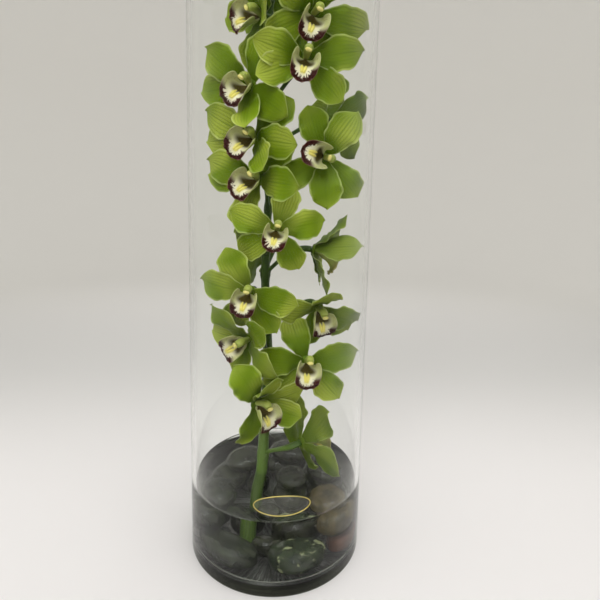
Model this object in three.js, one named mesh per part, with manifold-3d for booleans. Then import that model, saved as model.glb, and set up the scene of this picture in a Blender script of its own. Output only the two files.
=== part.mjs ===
// Orchid stem in a glass vase: one flower spike of a small green boat orchid stands in a tall clear
// cylinder on dark river pebbles, with its cut foot under water.
// Millimetres, +Z up, origin at the middle of the vase's flat foot. The side seen in front is -Y.
import * as THREE from 'three';
import { mergeVertices } from 'three/addons/utils/BufferGeometryUtils.js';
import Module from 'manifold-3d';

const wasm = await Module();
wasm.setup();

// Vase
const VASE_RADIUS = 75;
const VASE_HEIGHT = 600;
const WALL = 3.75;
const BASE_THICKNESS = 11;
const FOOT_CHAMFER = 2.2;
const RIM_ROUND = 1.8;
const INNER_FILLET = 3;
const ROUND_SIDES = 48;

// Water and pebbles
const GAP = 0.3;
const WATER_LEVEL = 62;
const WATER_FLOOR = BASE_THICKNESS + 0.5;
const PEBBLE_GAP = 0.45;
const PEBBLE_ROUGHNESS = 0.05;
const PEBBLE_FLATNESS = 3;
const HOLE_STEPS = 3;

// Bare oval label on the outside of the glass
const LABEL_WIDTH = 44;
const LABEL_HEIGHT = 17;
const LABEL_THICKNESS = 0.6;
const LABEL_CENTRE_X = 5;
const LABEL_CENTRE_Z = 79.2;
const LABEL_POINTS = 16;
const LABEL_RINGS = [0.5, 1];

// Blooms
const BLADE = 0.8;
const RECEPTACLE_RADIUS = 5;
const RECEPTACLE_FRONT = 1.3;
const RECEPTACLE_BACK = -1.4;
const RECEPTACLE_SIDES = 5;
const RECEPTACLE_TURN = 144;
const LIP_FROM_CENTRE = new THREE.Vector3(0, -6, 11);
const BLADE_START = 3.1;

const INNER_RADIUS = VASE_RADIUS - WALL;
const DEG = Math.PI / 180;

// Colours
const GLASS = { color: 0xe9f0ee, roughness: 0.03, metalness: 0, transparent: true, opacity: 0.3 };
const WATER = { color: 0xdfe8e2, roughness: 0.02, metalness: 0, transparent: true, opacity: 0.4 };
const LABEL = { color: 0xd8c58a, roughness: 0.3, metalness: 0.2 };
const STEM = { color: 0x3f6a1e, roughness: 0.5, metalness: 0 };
const TEPAL = { color: 0x86ab2e, roughness: 0.5, metalness: 0 };
const LIP = { color: 0xe9e2c4, roughness: 0.5, metalness: 0 };
const PEBBLE = { color: 0x3b4038, roughness: 0.25, metalness: 0 };

const group = new THREE.Group();

// Closed meshes, joins and cuts
const WELD = 1e-4;
const NEARLY_SIDEWAYS = 0.9;

function triangleSolid(vertices, triangles) {
  const geometry = new THREE.BufferGeometry();
  const numbers = vertices.flatMap((v) => v.toArray());
  geometry.setAttribute('position', new THREE.Float32BufferAttribute(numbers, 3));
  geometry.setIndex(triangles.flat());
  return toSolid(geometry);
}

function toSolid(geometry) {
  const bare = geometry.clone();
  bare.deleteAttribute('normal');
  bare.deleteAttribute('uv');
  const merged = mergeVertices(bare, WELD);
  const kept = [];
  const index = merged.index.array;
  for (let i = 0; i < index.length; i += 3) {
    const [a, b, c] = [index[i], index[i + 1], index[i + 2]];
    if (a !== b && b !== c && c !== a) kept.push(a, b, c);
  }
  const mesh = new wasm.Mesh({
    numProp: 3,
    vertProperties: new Float32Array(merged.attributes.position.array),
    triVerts: new Uint32Array(kept),
  });
  return new wasm.Manifold(mesh);
}

function toGeometry(solid) {
  const mesh = solid.getMesh();
  const geometry = new THREE.BufferGeometry();
  geometry.setAttribute('position', new THREE.BufferAttribute(new Float32Array(mesh.vertProperties), 3));
  geometry.setIndex(new THREE.BufferAttribute(new Uint32Array(mesh.triVerts), 1));
  geometry.computeVertexNormals();
  return geometry;
}

function joined(solids) {
  return solids.reduce((all, next) => all.add(next));
}

// The biggest body of a solid: drops closed-off scraps
function largest(solid) {
  return solid.decompose().reduce((best, next) => (next.volume() > best.volume() ? next : best));
}

function addPiece(name, solid, look, parent = group) {
  const mesh = new THREE.Mesh(toGeometry(solid), new THREE.MeshStandardMaterial(look));
  mesh.name = name;
  parent.add(mesh);
}

// Seeded numbers from 0 to 1
const DRAW_FACTOR = 16807;
const DRAW_LIMIT = 2147483647;

function seeded(seed) {
  let state = seed;
  return () => {
    state = (state * DRAW_FACTOR) % DRAW_LIMIT;
    return state / DRAW_LIMIT;
  };
}

// A profile of [radius, height] points turned round the Z axis
function turned(profile) {
  const points = profile.map(([r, z]) => new THREE.Vector2(r, z));
  const geometry = new THREE.LatheGeometry(points, ROUND_SIDES);
  geometry.rotateX(Math.PI / 2);
  return toSolid(geometry);
}

// A round tube through points, with a radius at each, closed by flat ends
function tube(points, radii, sides, startTangent = null, endTangent = null) {
  const last = points.length - 1;
  const vertices = [];
  const triangles = [];
  const side = new THREE.Vector3(1, 0, 0);
  points.forEach((point, i) => {
    const tangent = points[Math.min(i + 1, last)].clone().sub(points[Math.max(i - 1, 0)]).normalize();
    if (i === 0 && startTangent) tangent.copy(startTangent);
    if (i === last && endTangent) tangent.copy(endTangent);
    if (i === 0 && Math.abs(tangent.x) > NEARLY_SIDEWAYS) side.set(0, 1, 0);
    side.addScaledVector(tangent, -side.dot(tangent)).normalize();
    const across = tangent.clone().cross(side);
    for (let k = 0; k < sides; k += 1) {
      const turn = (2 * Math.PI * k) / sides;
      const vertex = point.clone();
      vertex.addScaledVector(side, radii[i] * Math.cos(turn));
      vertex.addScaledVector(across, radii[i] * Math.sin(turn));
      vertices.push(vertex);
    }
  });
  for (let i = 0; i < last; i += 1) {
    for (let k = 0; k < sides; k += 1) {
      const next = (k + 1) % sides;
      const a = i * sides + k;
      const b = i * sides + next;
      triangles.push([a, b, b + sides], [a, b + sides, a + sides]);
    }
  }
  for (let k = 1; k < sides - 1; k += 1) {
    triangles.push([0, k + 1, k], [last * sides, last * sides + k, last * sides + k + 1]);
  }
  return triangleSolid(vertices, triangles);
}

// A thin blade: a grid of points on its middle surface, thickened alike to both faces
function blade(rows, thickness) {
  const across = rows[0].length;
  const normals = rows.map((row, i) => row.map((point, j) => {
    const along = rows[Math.min(i + 1, rows.length - 1)][j].clone().sub(rows[Math.max(i - 1, 0)][j]);
    const side = row[Math.min(j + 1, across - 1)].clone().sub(row[Math.max(j - 1, 0)]);
    return side.cross(along).normalize();
  }));
  const vertices = [];
  for (const face of [0.5, -0.5]) {
    rows.forEach((row, i) => row.forEach((point, j) => {
      vertices.push(point.clone().addScaledVector(normals[i][j], face * thickness));
    }));
  }
  const count = rows.length * across;
  const at = (i, j, face) => face * count + i * across + j;
  const triangles = [];
  const quad = (a, b, c, d) => triangles.push([a, b, c], [a, c, d]);
  for (let i = 0; i < rows.length - 1; i += 1) {
    for (let j = 0; j < across - 1; j += 1) {
      quad(at(i, j, 0), at(i, j + 1, 0), at(i + 1, j + 1, 0), at(i + 1, j, 0));
      const [a, b, c, d] = [at(i, j, 1), at(i, j + 1, 1), at(i + 1, j + 1, 1), at(i + 1, j, 1)];
      triangles.push([a, c, b], [a, d, c]);
    }
    quad(at(i, 0, 1), at(i, 0, 0), at(i + 1, 0, 0), at(i + 1, 0, 1));
    quad(at(i, across - 1, 0), at(i, across - 1, 1), at(i + 1, across - 1, 1), at(i + 1, across - 1, 0));
  }
  const end = rows.length - 1;
  for (let j = 0; j < across - 1; j += 1) {
    quad(at(0, j, 1), at(0, j + 1, 1), at(0, j + 1, 0), at(0, j, 0));
    quad(at(end, j, 0), at(end, j + 1, 0), at(end, j + 1, 1), at(end, j, 1));
  }
  return triangleSolid(vertices, triangles);
}

// Vase: a straight cylinder with a thick flat base, plain foot and plain rim
function vaseSolid() {
  return turned([
    [0, 0],
    [VASE_RADIUS - FOOT_CHAMFER, 0],
    [VASE_RADIUS, FOOT_CHAMFER],
    [VASE_RADIUS, VASE_HEIGHT - RIM_ROUND],
    [VASE_RADIUS - WALL / 2, VASE_HEIGHT],
    [INNER_RADIUS, VASE_HEIGHT - RIM_ROUND],
    [INNER_RADIUS, BASE_THICKNESS + INNER_FILLET],
    [INNER_RADIUS - INNER_FILLET, BASE_THICKNESS],
    [0, BASE_THICKNESS],
  ]);
}

// Spike: the main axis rises from the cut foot and sways a little between the blooms
const SPIKE = [
  // x, y, z, radius
  [-18, -15, BASE_THICKNESS + GAP, 5.2],
  [-16.5, -8, 38, 5.2],
  [-13, 0, 64, 5],
  [-11, 4, 110, 4.6],
  [-9, 6, 168, 4.1],
  [-12, 6, 235, 3.6],
  [-10, 6, 300, 3.2],
  [-5, 6, 377, 2.8],
  [-12, 5, 424, 2.5],
  [-9, 4, 470, 2.2],
  [-5, 3, 512, 1.8],
];
const SPIKE_SIDES = 8;
const SPIKE_STEPS = 18;
const HALVINGS = 30;

const spikePoints = SPIKE.map(([x, y, z]) => new THREE.Vector3(x, y, z));
const spikeLine = new THREE.CatmullRomCurve3(spikePoints, false, 'centripetal');

function spikeRadius(height) {
  for (let i = 1; i < SPIKE.length; i += 1) {
    const [low, high] = [SPIKE[i - 1], SPIKE[i]];
    if (height <= high[2]) return low[3] + ((high[3] - low[3]) * (height - low[2])) / (high[2] - low[2]);
  }
  return SPIKE[SPIKE.length - 1][3];
}

// The axis point at a height, found by halving
function spikeAt(height) {
  let [low, high] = [0, 1];
  for (let i = 0; i < HALVINGS; i += 1) {
    const middle = (low + high) / 2;
    if (spikeLine.getPoint(middle).z < height) low = middle;
    else high = middle;
  }
  return spikeLine.getPoint((low + high) / 2);
}

// Rings of the axis from its foot to its tip, fattened by extra, and the stretch that stands in the water
function spikeTube(extra, steps = SPIKE_STEPS) {
  const [low, high] = [SPIKE[0][2], SPIKE[SPIKE.length - 1][2]];
  const points = [];
  for (let i = 0; i <= steps; i += 1) points.push(spikeAt(low + ((high - low) * i) / SPIKE_STEPS));
  const radii = points.map((p) => spikeRadius(p.z) + extra);
  return tube(points, radii, SPIKE_SIDES, new THREE.Vector3(0, 0, 1));
}

// The five tepals of a bloom, seen from the front: angle round the bloom from its right side, length, width,
// lift of the base towards the front, curl from base to tip, cup across, the layer they spring from, and how
// far out the widest part lies (more is further)
const TEPALS = [
  { angle: 90, length: 38, width: 23.5, lift: 33, curl: -42, cup: 0.16, layer: -0.8, pointed: 1.4 },
  { angle: 20, length: 39, width: 25, lift: 38, curl: -52, cup: 0.1, layer: 0.7, pointed: 1.32 },
  { angle: 160, length: 39, width: 25, lift: 38, curl: -52, cup: 0.1, layer: 0.7, pointed: 1.32 },
  { angle: -52, length: 38, width: 23.5, lift: 31, curl: -44, cup: 0.16, layer: -0.8, pointed: 1.42 },
  { angle: 232, length: 38, width: 23.5, lift: 31, curl: -44, cup: 0.16, layer: -0.8, pointed: 1.42 },
];
const TEPAL_ROWS = [0, 0.22, 0.5, 0.78, 1];
const TEPAL_COLUMNS = [-1, 0, 1];
const EDGE_WAVE = 0.1;
const WAVE_RATE = 7.5;

// The width follows a blunted half wave that starts and stops a little short of its ends
const WIDTH_FROM = 0.03;
const WIDTH_SPAN = 0.93;
const WIDTH_BLUNT = 0.62;

// A tepal that leans back does so partly at its base and partly along its length
const LEAN_AT_BASE = 0.4;
const LEAN_ALONG = 0.6;

// Half the width of a tepal at s along it, as a share of its widest
function tepalWidth(s, pointed) {
  return Math.sin(Math.PI * (WIDTH_FROM + WIDTH_SPAN * s ** pointed)) ** WIDTH_BLUNT;
}

// A point of a tepal in the bloom's own frame: s runs from base to tip, u from edge to edge
function tepalPoint(tepal, size, s, u) {
  const lift = (tepal.lift - LEAN_AT_BASE * tepal.back) * DEG;
  const curl = (tepal.curl - LEAN_ALONG * tepal.back) * DEG;
  const tangent = lift + curl * s;
  const out = BLADE_START + (tepal.length * (Math.sin(tangent) - Math.sin(lift))) / curl;
  const front = tepal.layer - (tepal.length * (Math.cos(tangent) - Math.cos(lift))) / curl;
  const half = (tepal.width / 2) * tepalWidth(s, tepal.pointed);
  const wave = EDGE_WAVE * Math.sin(WAVE_RATE * s + tepal.angle) * u * Math.abs(u);
  const rise = half * Math.sqrt(s) * (tepal.cup * u * u + wave);
  const turn = (tepal.angle + tepal.side) * DEG;
  const radial = (out - rise * Math.sin(tangent)) * size;
  const across = half * u * size;
  return new THREE.Vector3(
    radial * Math.cos(turn) - across * Math.sin(turn),
    radial * Math.sin(turn) + across * Math.cos(turn),
    (front + rise * Math.cos(tangent)) * size,
  );
}

// Each bloom: the middle of its lip, where it faces (degrees from the front towards the right, and up), its
// turn as seen from in front (clockwise), its size, and how far its tepals stand off their usual angles
// (swing) and lean back (fold), in the order of the list above
const BLOOMS = [
  { lip: [-27, -25, 438], faces: -50, up: -5, turn: 60, size: 1, swing: [0, 25, 0, 0, 0] },
  {
    lip: [19.5, -47, 430.5], faces: 6, up: -20, turn: 22, size: 1,
    swing: [0, 0, 0, 16, 0], fold: [0, 0, 0, 25, -5],
  },
  {
    lip: [15, -47, 402], faces: 0, up: -8, turn: 14, size: 1,
    swing: [38, 0, 22, 18, -6], fold: [48, 0, 0, 0, 0],
  },
  {
    lip: [-32, -32, 385.5], faces: -26, up: -5, turn: 34, size: 1.04,
    swing: [0, 14, 12, 0, -14], fold: [10, 0, 0, -15, 0],
  },
  {
    lip: [-29, -33, 347.4], faces: -26, up: -5, turn: 38, size: 1.04,
    swing: [0, 14, 0, 16, -8], fold: [25, 0, 0, -45, 0],
  },
  { lip: [26, -35, 341.5], faces: -8, up: 0, turn: 105, size: 1, swing: [0, 0, -8, 8, -18] },
  {
    lip: [-26, -34, 316.7], faces: -26, up: 0, turn: 38, size: 1.04,
    swing: [0, 18, 0, 12, -18], fold: [30, 0, 0, -30, 0],
  },
  {
    lip: [-4, -48, 279], faces: 0, up: 0, turn: 14, size: 0.92,
    swing: [0, 5, -5, 5, -12], fold: [30, 26, 36, 28, 40],
  },
  {
    lip: [37, -12, 257], faces: 90, up: -12, turn: 0, size: 1,
    swing: [0, 0, -20, 0, 20], fold: [-30, -30, -70, -20, -30],
  },
  {
    lip: [-25.5, -46, 229], faces: -8, up: -5, turn: 14, size: 0.97,
    swing: [40, -18, 40, 0, 24], fold: [10, 10, 30, 5, 25],
  },
  { lip: [-34, -32, 189], faces: -45, up: -10, turn: 55, size: 1 },
  {
    lip: [34, -27, 208.5], faces: 18, up: -28, turn: -5, size: 1,
    swing: [0, -30, 10, 10, 0], fold: [-30, 0, 0, 0, 0],
  },
  {
    lip: [22.5, -42, 171], faces: 4, up: 0, turn: 10, size: 1,
    swing: [0, 0, 24, 12, 0], fold: [42, 0, 10, 0, 10],
  },
  {
    lip: [-10, -50, 139], faces: 40, up: -12, turn: -5, size: 1,
    swing: [8, 0, 0, 26, 24], fold: [0, 0, 15, -36, 20],
  },
  { lip: [33, -16, 96], faces: 125, up: 5, turn: 34, size: 1.05 },
  { lip: [-24, 28, 258], faces: -110, up: -5, turn: 0, size: 1 },
  { lip: [50, 26, 366], faces: 130, up: 0, turn: 0, size: 1 },
  { lip: [-20, -40, 480], faces: -20, up: 0, turn: 20, size: 0.97 },
  { lip: [32, -22, 494], faces: 40, up: 0, turn: 0, size: 0.95 },
  { lip: [-8, 42, 470], faces: 170, up: 0, turn: 0, size: 0.97 },
];

// Flower stalk: how far under the bloom it leaves the axis, and how far behind the bloom it runs straight
const STALK_DROP = 24;
const STALK_STRAIGHT = 17;
const SHOULDER_OUT = 10;
const SHOULDER_UP = 9;
const STALK_STEPS = 4;
const STALK_SIDES = 5;
const STALK_RADII = [1.8, 1.7, 1.7, 2.1, 2.7, 2.6];

function bloomAxes(bloom) {
  const [faces, up, turn] = [bloom.faces * DEG, bloom.up * DEG, bloom.turn * DEG];
  const level = Math.cos(up);
  const front = new THREE.Vector3(Math.sin(faces) * level, -Math.cos(faces) * level, Math.sin(up));
  const right = new THREE.Vector3(Math.cos(faces), Math.sin(faces), 0);
  const above = front.clone().cross(right);
  const x = right.clone().multiplyScalar(Math.cos(turn)).addScaledVector(above, -Math.sin(turn));
  const y = right.clone().multiplyScalar(Math.sin(turn)).addScaledVector(above, Math.cos(turn));
  return { x, y, front };
}

function placeBloom(bloom) {
  const { x, y, front } = bloomAxes(bloom);
  bloom.frame = new THREE.Matrix4().makeBasis(x, y, front);
  const offset = LIP_FROM_CENTRE.clone().multiplyScalar(bloom.size).applyMatrix4(bloom.frame);
  bloom.centre = new THREE.Vector3(...bloom.lip).sub(offset);
  bloom.frame.setPosition(bloom.centre);
  bloom.front = front;
}

// The curve of a flower stalk from inside the axis to just behind the bloom
function stalkPoints(bloom) {
  const end = bloom.centre.clone().addScaledVector(bloom.front, RECEPTACLE_BACK - GAP);
  const foot = spikeAt(bloom.centre.z - STALK_DROP);
  const outward = end.clone().sub(foot).setZ(0).normalize();
  const shoulder = foot.clone().addScaledVector(outward, SHOULDER_OUT);
  shoulder.z += SHOULDER_UP;
  const behind = end.clone().addScaledVector(bloom.front, -STALK_STRAIGHT);
  const curve = new THREE.CubicBezierCurve3(foot, shoulder, behind, end);
  return curve.getPoints(STALK_STEPS);
}

// Opening the spike: a tepal that would touch a neighbour, a stalk or the glass swings and leans until it is
// clear. Round spots stand for the lips, stalks and axis, and a net of points for each tepal.
const SPOT_ROWS = [0.32, 0.5, 0.66, 0.82, 0.97];
const SPOT_COLUMNS = [-0.95, -0.48, 0, 0.48, 0.95];
const MIDDLE_SPOT = 12;
const TEPAL_CLEAR = 5.6;
const LIP_CLEAR = 1;
const STALK_CLEAR = 5;
const AXIS_CLEAR = 3.5;
const AXIS_SPOTS = { from: 60, to: 520, step: 6 };
const REACH = 52;
const GLASS_CLEAR = INNER_RADIUS - 1.6;
const WATER_CLEAR = WATER_LEVEL + 2;
const WALL_WEIGHT = 9;
const MOST_SWING = 45;
const MOST_LEAN = { back: 80, forward: 50 };
const LEAN_STEPS = [18, 12, 9, 9, 6, 6, 4, 4, 3, 3, 2, 2, 1, 1];
const LEAN_WAYS = [[1, 0], [-1, 0], [0, 1], [0, -1], [1, 1], [1, -1], [-1, 1], [-1, -1]];
const STIFF = 0.012;
const LIP_SPOTS = [
  { at: new THREE.Vector3(0, -1, 11), radius: 12.5 },
  { at: new THREE.Vector3(0, -9, 15), radius: 10.5 },
];

function tepalSpots(bloom, tepal) {
  const spots = [];
  for (const s of SPOT_ROWS) {
    for (const u of SPOT_COLUMNS) {
      const p = tepalPoint(tepal, bloom.size, s, u).applyMatrix4(bloom.frame);
      spots.push([p.x, p.y, p.z]);
    }
  }
  return spots;
}

function spotDistance(a, b) {
  return Math.sqrt((a[0] - b[0]) ** 2 + (a[1] - b[1]) ** 2 + (a[2] - b[2]) ** 2);
}

// How badly a tepal crowds what stands near it
function crowding(bloom, tepal, spots, neighbours) {
  let sum = STIFF * ((tepal.side - tepal.swing) ** 2 + (tepal.back - tepal.fold) ** 2);
  for (const [x, y, z] of spots) {
    sum += WALL_WEIGHT * Math.max(0, Math.hypot(x, y) - GLASS_CLEAR) ** 2;
    sum += WALL_WEIGHT * Math.max(0, WATER_CLEAR - z) ** 2;
  }
  for (const other of neighbours) {
    for (const spot of spots) {
      for (const place of other.spots) {
        const short = other.need - spotDistance(spot, place);
        if (short > 0) sum += short * short;
      }
    }
  }
  return sum;
}

function openSpike(blooms) {
  const fixed = [];
  for (const bloom of blooms) {
    placeBloom(bloom);
    bloom.tepals = TEPALS.map((tepal, i) => {
      const swing = bloom.swing?.[i] ?? 0;
      const fold = bloom.fold?.[i] ?? 0;
      return { ...tepal, swing, fold, side: swing, back: fold };
    });
    for (const tepal of bloom.tepals) tepal.spots = tepalSpots(bloom, tepal);
    for (const spot of LIP_SPOTS) {
      const p = spot.at.clone().multiplyScalar(bloom.size).applyMatrix4(bloom.frame);
      fixed.push({ bloom, spots: [[p.x, p.y, p.z]], need: spot.radius + LIP_CLEAR });
    }
    for (const p of stalkPoints(bloom)) fixed.push({ bloom, spots: [[p.x, p.y, p.z]], need: STALK_CLEAR });
  }
  for (let height = AXIS_SPOTS.from; height < AXIS_SPOTS.to; height += AXIS_SPOTS.step) {
    const p = spikeAt(height);
    fixed.push({ bloom: null, spots: [[p.x, p.y, p.z]], need: spikeRadius(height) + AXIS_CLEAR });
  }
  for (const step of LEAN_STEPS) {
    for (const bloom of blooms) {
      for (const tepal of bloom.tepals) leanTepal(bloom, tepal, blooms, fixed, step);
    }
  }
}

function leanTepal(bloom, tepal, blooms, fixed, step) {
  const middle = tepal.spots[MIDDLE_SPOT];
  const neighbours = [];
  for (const other of blooms) {
    if (other === bloom) continue;
    for (const blade of other.tepals) {
      const near = spotDistance(middle, blade.spots[MIDDLE_SPOT]) < REACH;
      if (near) neighbours.push({ spots: blade.spots, need: TEPAL_CLEAR });
    }
  }
  for (const other of fixed) {
    if (other.bloom !== bloom && spotDistance(middle, other.spots[0]) < REACH) neighbours.push(other);
  }
  let best = crowding(bloom, tepal, tepal.spots, neighbours);
  const { side, back } = tepal;
  for (const [across, along] of LEAN_WAYS) {
    const trial = { ...tepal, side: side + across * step, back: back + along * step };
    if (Math.abs(trial.side) > MOST_SWING) continue;
    if (trial.back > MOST_LEAN.back || trial.back < -MOST_LEAN.forward) continue;
    const spots = tepalSpots(bloom, trial);
    const value = crowding(bloom, trial, spots, neighbours);
    if (value < best) {
      best = value;
      tepal.side = trial.side;
      tepal.back = trial.back;
      tepal.spots = spots;
    }
  }
}

// Five tepals on a small five-sided receptacle, one to a side
function tepalSolid(bloom) {
  const parts = bloom.tepals.map((tepal) => {
    const rows = TEPAL_ROWS.map((s) => TEPAL_COLUMNS.map((u) => tepalPoint(tepal, bloom.size, s, u)));
    return blade(rows, BLADE);
  });
  const depth = RECEPTACLE_FRONT - RECEPTACLE_BACK;
  const [radius, sides] = [RECEPTACLE_RADIUS, RECEPTACLE_SIDES];
  const start = RECEPTACLE_TURN * DEG;
  const receptacle = new THREE.CylinderGeometry(radius, radius, depth, sides, 1, false, start);
  receptacle.rotateX(Math.PI / 2);
  receptacle.translate(0, 0, RECEPTACLE_BACK + depth / 2);
  return joined([...parts, toSolid(receptacle)]);
}

// Lip: a claw that opens into two side lobes round the column, and a front lobe that curls down
const LIP_ROWS = [
  { down: 1.2, front: 2.6, half: 2.4, bend: 20 },
  { down: 4.4, front: 7.6, half: 11.4, bend: 108 },
  { down: 6.2, front: 12.6, half: 17, bend: 108 },
  { down: 10.4, front: 17.2, half: 10.6, bend: 38 },
  { down: 15.9, front: 17.2, half: 5.8, bend: -6 },
];
const LIP_COLUMNS = [-1, -0.5, 0, 0.5, 1];

// Column: a stout arch over the lip, with its blunt tip bent down
const COLUMN_SIDES = 5;
const COLUMN = [
  // above, front, radius
  [0.8, 1.85, 2.3],
  [4, 7.6, 2.7],
  [6.4, 12.6, 3],
  [5.8, 16.4, 2.5],
];

function lipPoint(row, next, previous, across) {
  const tangent = new THREE.Vector2(previous.down - next.down, next.front - previous.front).normalize();
  const bend = row.bend * DEG;
  const radius = row.half / bend;
  const rise = radius * (1 - Math.cos(bend * across));
  return new THREE.Vector3(
    radius * Math.sin(bend * across),
    -row.down + rise * tangent.y,
    row.front - rise * tangent.x,
  );
}

function lipSolid(size) {
  const last = LIP_ROWS.length - 1;
  const rows = LIP_ROWS.map((row, i) => {
    const next = LIP_ROWS[Math.min(i + 1, last)];
    const previous = LIP_ROWS[Math.max(i - 1, 0)];
    return LIP_COLUMNS.map((across) => lipPoint(row, next, previous, across).multiplyScalar(size));
  });
  const points = COLUMN.map(([above, front]) => new THREE.Vector3(0, above, front).multiplyScalar(size));
  const radii = COLUMN.map(([, , radius]) => radius * size);
  const column = tube(points, radii, COLUMN_SIDES, new THREE.Vector3(0, 0, 1));
  return joined([blade(rows, BLADE), column]);
}

// Closed buds at the tip of the spike: height of the foot, the way they lean and how far, length and radius
const BUDS = [
  { foot: 496, towards: -150, lean: 34, length: 27, radius: 6 },
  { foot: 505, towards: 10, lean: 40, length: 24, radius: 5.4 },
  { foot: 511, towards: 120, lean: 12, length: 21, radius: 4.6 },
];
const BUD_PROFILE = [
  // share of length, share of radius
  [0, 0.25],
  [0.12, 0.55],
  [0.3, 0.8],
  [0.5, 1],
  [0.75, 0.86],
  [0.92, 0.5],
  [1, 0.14],
];
const BUD_STALK = 15;
const BUD_STALK_RADIUS = 1.5;
const BUD_SIDES = 7;

function budSolid(bud) {
  const foot = spikeAt(bud.foot);
  const [towards, lean] = [bud.towards * DEG, bud.lean * DEG];
  const aside = Math.sin(lean);
  const way = new THREE.Vector3(aside * Math.cos(towards), aside * Math.sin(towards), Math.cos(lean));
  const points = [foot];
  const radii = [BUD_STALK_RADIUS];
  for (const [along, wide] of BUD_PROFILE) {
    points.push(foot.clone().addScaledVector(way, BUD_STALK + along * bud.length));
    radii.push(wide * bud.radius);
  }
  return tube(points, radii, BUD_SIDES);
}

function spikeSolid(blooms) {
  const parts = [spikeTube(0)];
  for (const bloom of blooms) {
    parts.push(tube(stalkPoints(bloom), STALK_RADII, STALK_SIDES, null, bloom.front));
  }
  for (const bud of BUDS) parts.push(budSolid(bud));
  return joined(parts);
}

// Pebbles: a ring on the floor of the vase with three in its middle, then a broken ring on top of them. Each
// is let down from its height until it rests on the floor or on those below.
const PEBBLES = [
  // angle and distance from the middle, the height it is let down from, and half sizes along the ring,
  // across it and up
  { angle: -132, out: 52, height: 30, half: [28.5, 18.5, 10.2] },
  { angle: -71, out: 50.5, height: 30, half: [22.5, 20, 10.8] },
  { angle: -25, out: 55, height: 30, half: [17, 15.5, 8.4] },
  { angle: 24, out: 51, height: 30, half: [22, 18, 12.4] },
  { angle: 84, out: 47, height: 30, half: [26, 20, 12.4] },
  { angle: 154, out: 49, height: 30, half: [26, 18, 12] },
  { angle: -10, out: 14, height: 30, half: [19, 17, 12.5] },
  { angle: -101, out: 27, height: 30, half: [11, 10, 8] },
  { angle: 146, out: 20, height: 30, half: [12, 10, 11] },
  { angle: -27, out: 50.5, height: 50, half: [19.5, 17.5, 11.5] },
  { angle: 18, out: 48, height: 50, half: [20, 18, 10] },
  { angle: 73, out: 47, height: 50, half: [21, 18, 10.4] },
  { angle: 130, out: 46, height: 50, half: [22, 18, 10] },
  { angle: -164, out: 51, height: 50, half: [20, 16, 10] },
  { angle: 10, out: 14, height: 50, half: [17, 15, 10] },
];

const PEBBLE_STEP = 0.2;
const PEBBLE_WAVES = [2.3, 2.7, 2.1];
const PEBBLE_SHIFT = 6;
const PEBBLE_SEED = { first: 11, step: 97 };

function pebbleSolid(pebble, extra) {
  const random = seeded(pebble.seed);
  const shift = PEBBLE_WAVES.map(() => random() * PEBBLE_SHIFT);
  const geometry = new THREE.IcosahedronGeometry(1, 1);
  const position = geometry.attributes.position;
  for (let i = 0; i < position.count; i += 1) {
    const v = new THREE.Vector3().fromBufferAttribute(position, i).normalize();
    const bumps = v.toArray().map((along, k) => Math.sin(PEBBLE_WAVES[k] * along + shift[k]));
    const rough = 1 - PEBBLE_ROUGHNESS * (1 + (bumps[0] + bumps[1] + bumps[2]) / 3);
    const sum = Math.hypot(v.x, v.y) ** PEBBLE_FLATNESS + Math.abs(v.z) ** PEBBLE_FLATNESS;
    const pull = rough * sum ** (-1 / PEBBLE_FLATNESS);
    position.setXYZ(i, ...v.toArray().map((along, k) => along * (pull * pebble.half[k] + extra)));
  }
  geometry.rotateZ((pebble.angle + 90) * DEG);
  const angle = pebble.angle * DEG;
  geometry.translate(pebble.out * Math.cos(angle), pebble.out * Math.sin(angle), pebble.height);
  return toSolid(geometry);
}

function settlePebbles() {
  const down = [];
  PEBBLES.forEach((pebble, i) => {
    pebble.seed = i * PEBBLE_SEED.step + PEBBLE_SEED.first;
    for (;;) {
      const trial = pebbleSolid({ ...pebble, height: pebble.height - PEBBLE_STEP }, GAP);
      const low = trial.boundingBox().min[2];
      if (low < BASE_THICKNESS || down.some((other) => other.intersect(trial).volume() > 0)) break;
      pebble.height -= PEBBLE_STEP;
    }
    down.push(pebbleSolid(pebble, 0));
  });
}

// Water: fills the vase to its level round the pebbles, with a plain hole for the stem
function waterSolid() {
  const body = turned([
    [0, WATER_FLOOR],
    [INNER_RADIUS - INNER_FILLET - GAP, WATER_FLOOR],
    [INNER_RADIUS - GAP, WATER_FLOOR + INNER_FILLET],
    [INNER_RADIUS - GAP, WATER_LEVEL],
    [0, WATER_LEVEL],
  ]);
  const hole = spikeTube(GAP, HOLE_STEPS);
  const filled = PEBBLES.reduce((left, pebble) => left.subtract(pebbleSolid(pebble, PEBBLE_GAP)), body);
  return largest(filled.subtract(hole));
}

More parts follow.
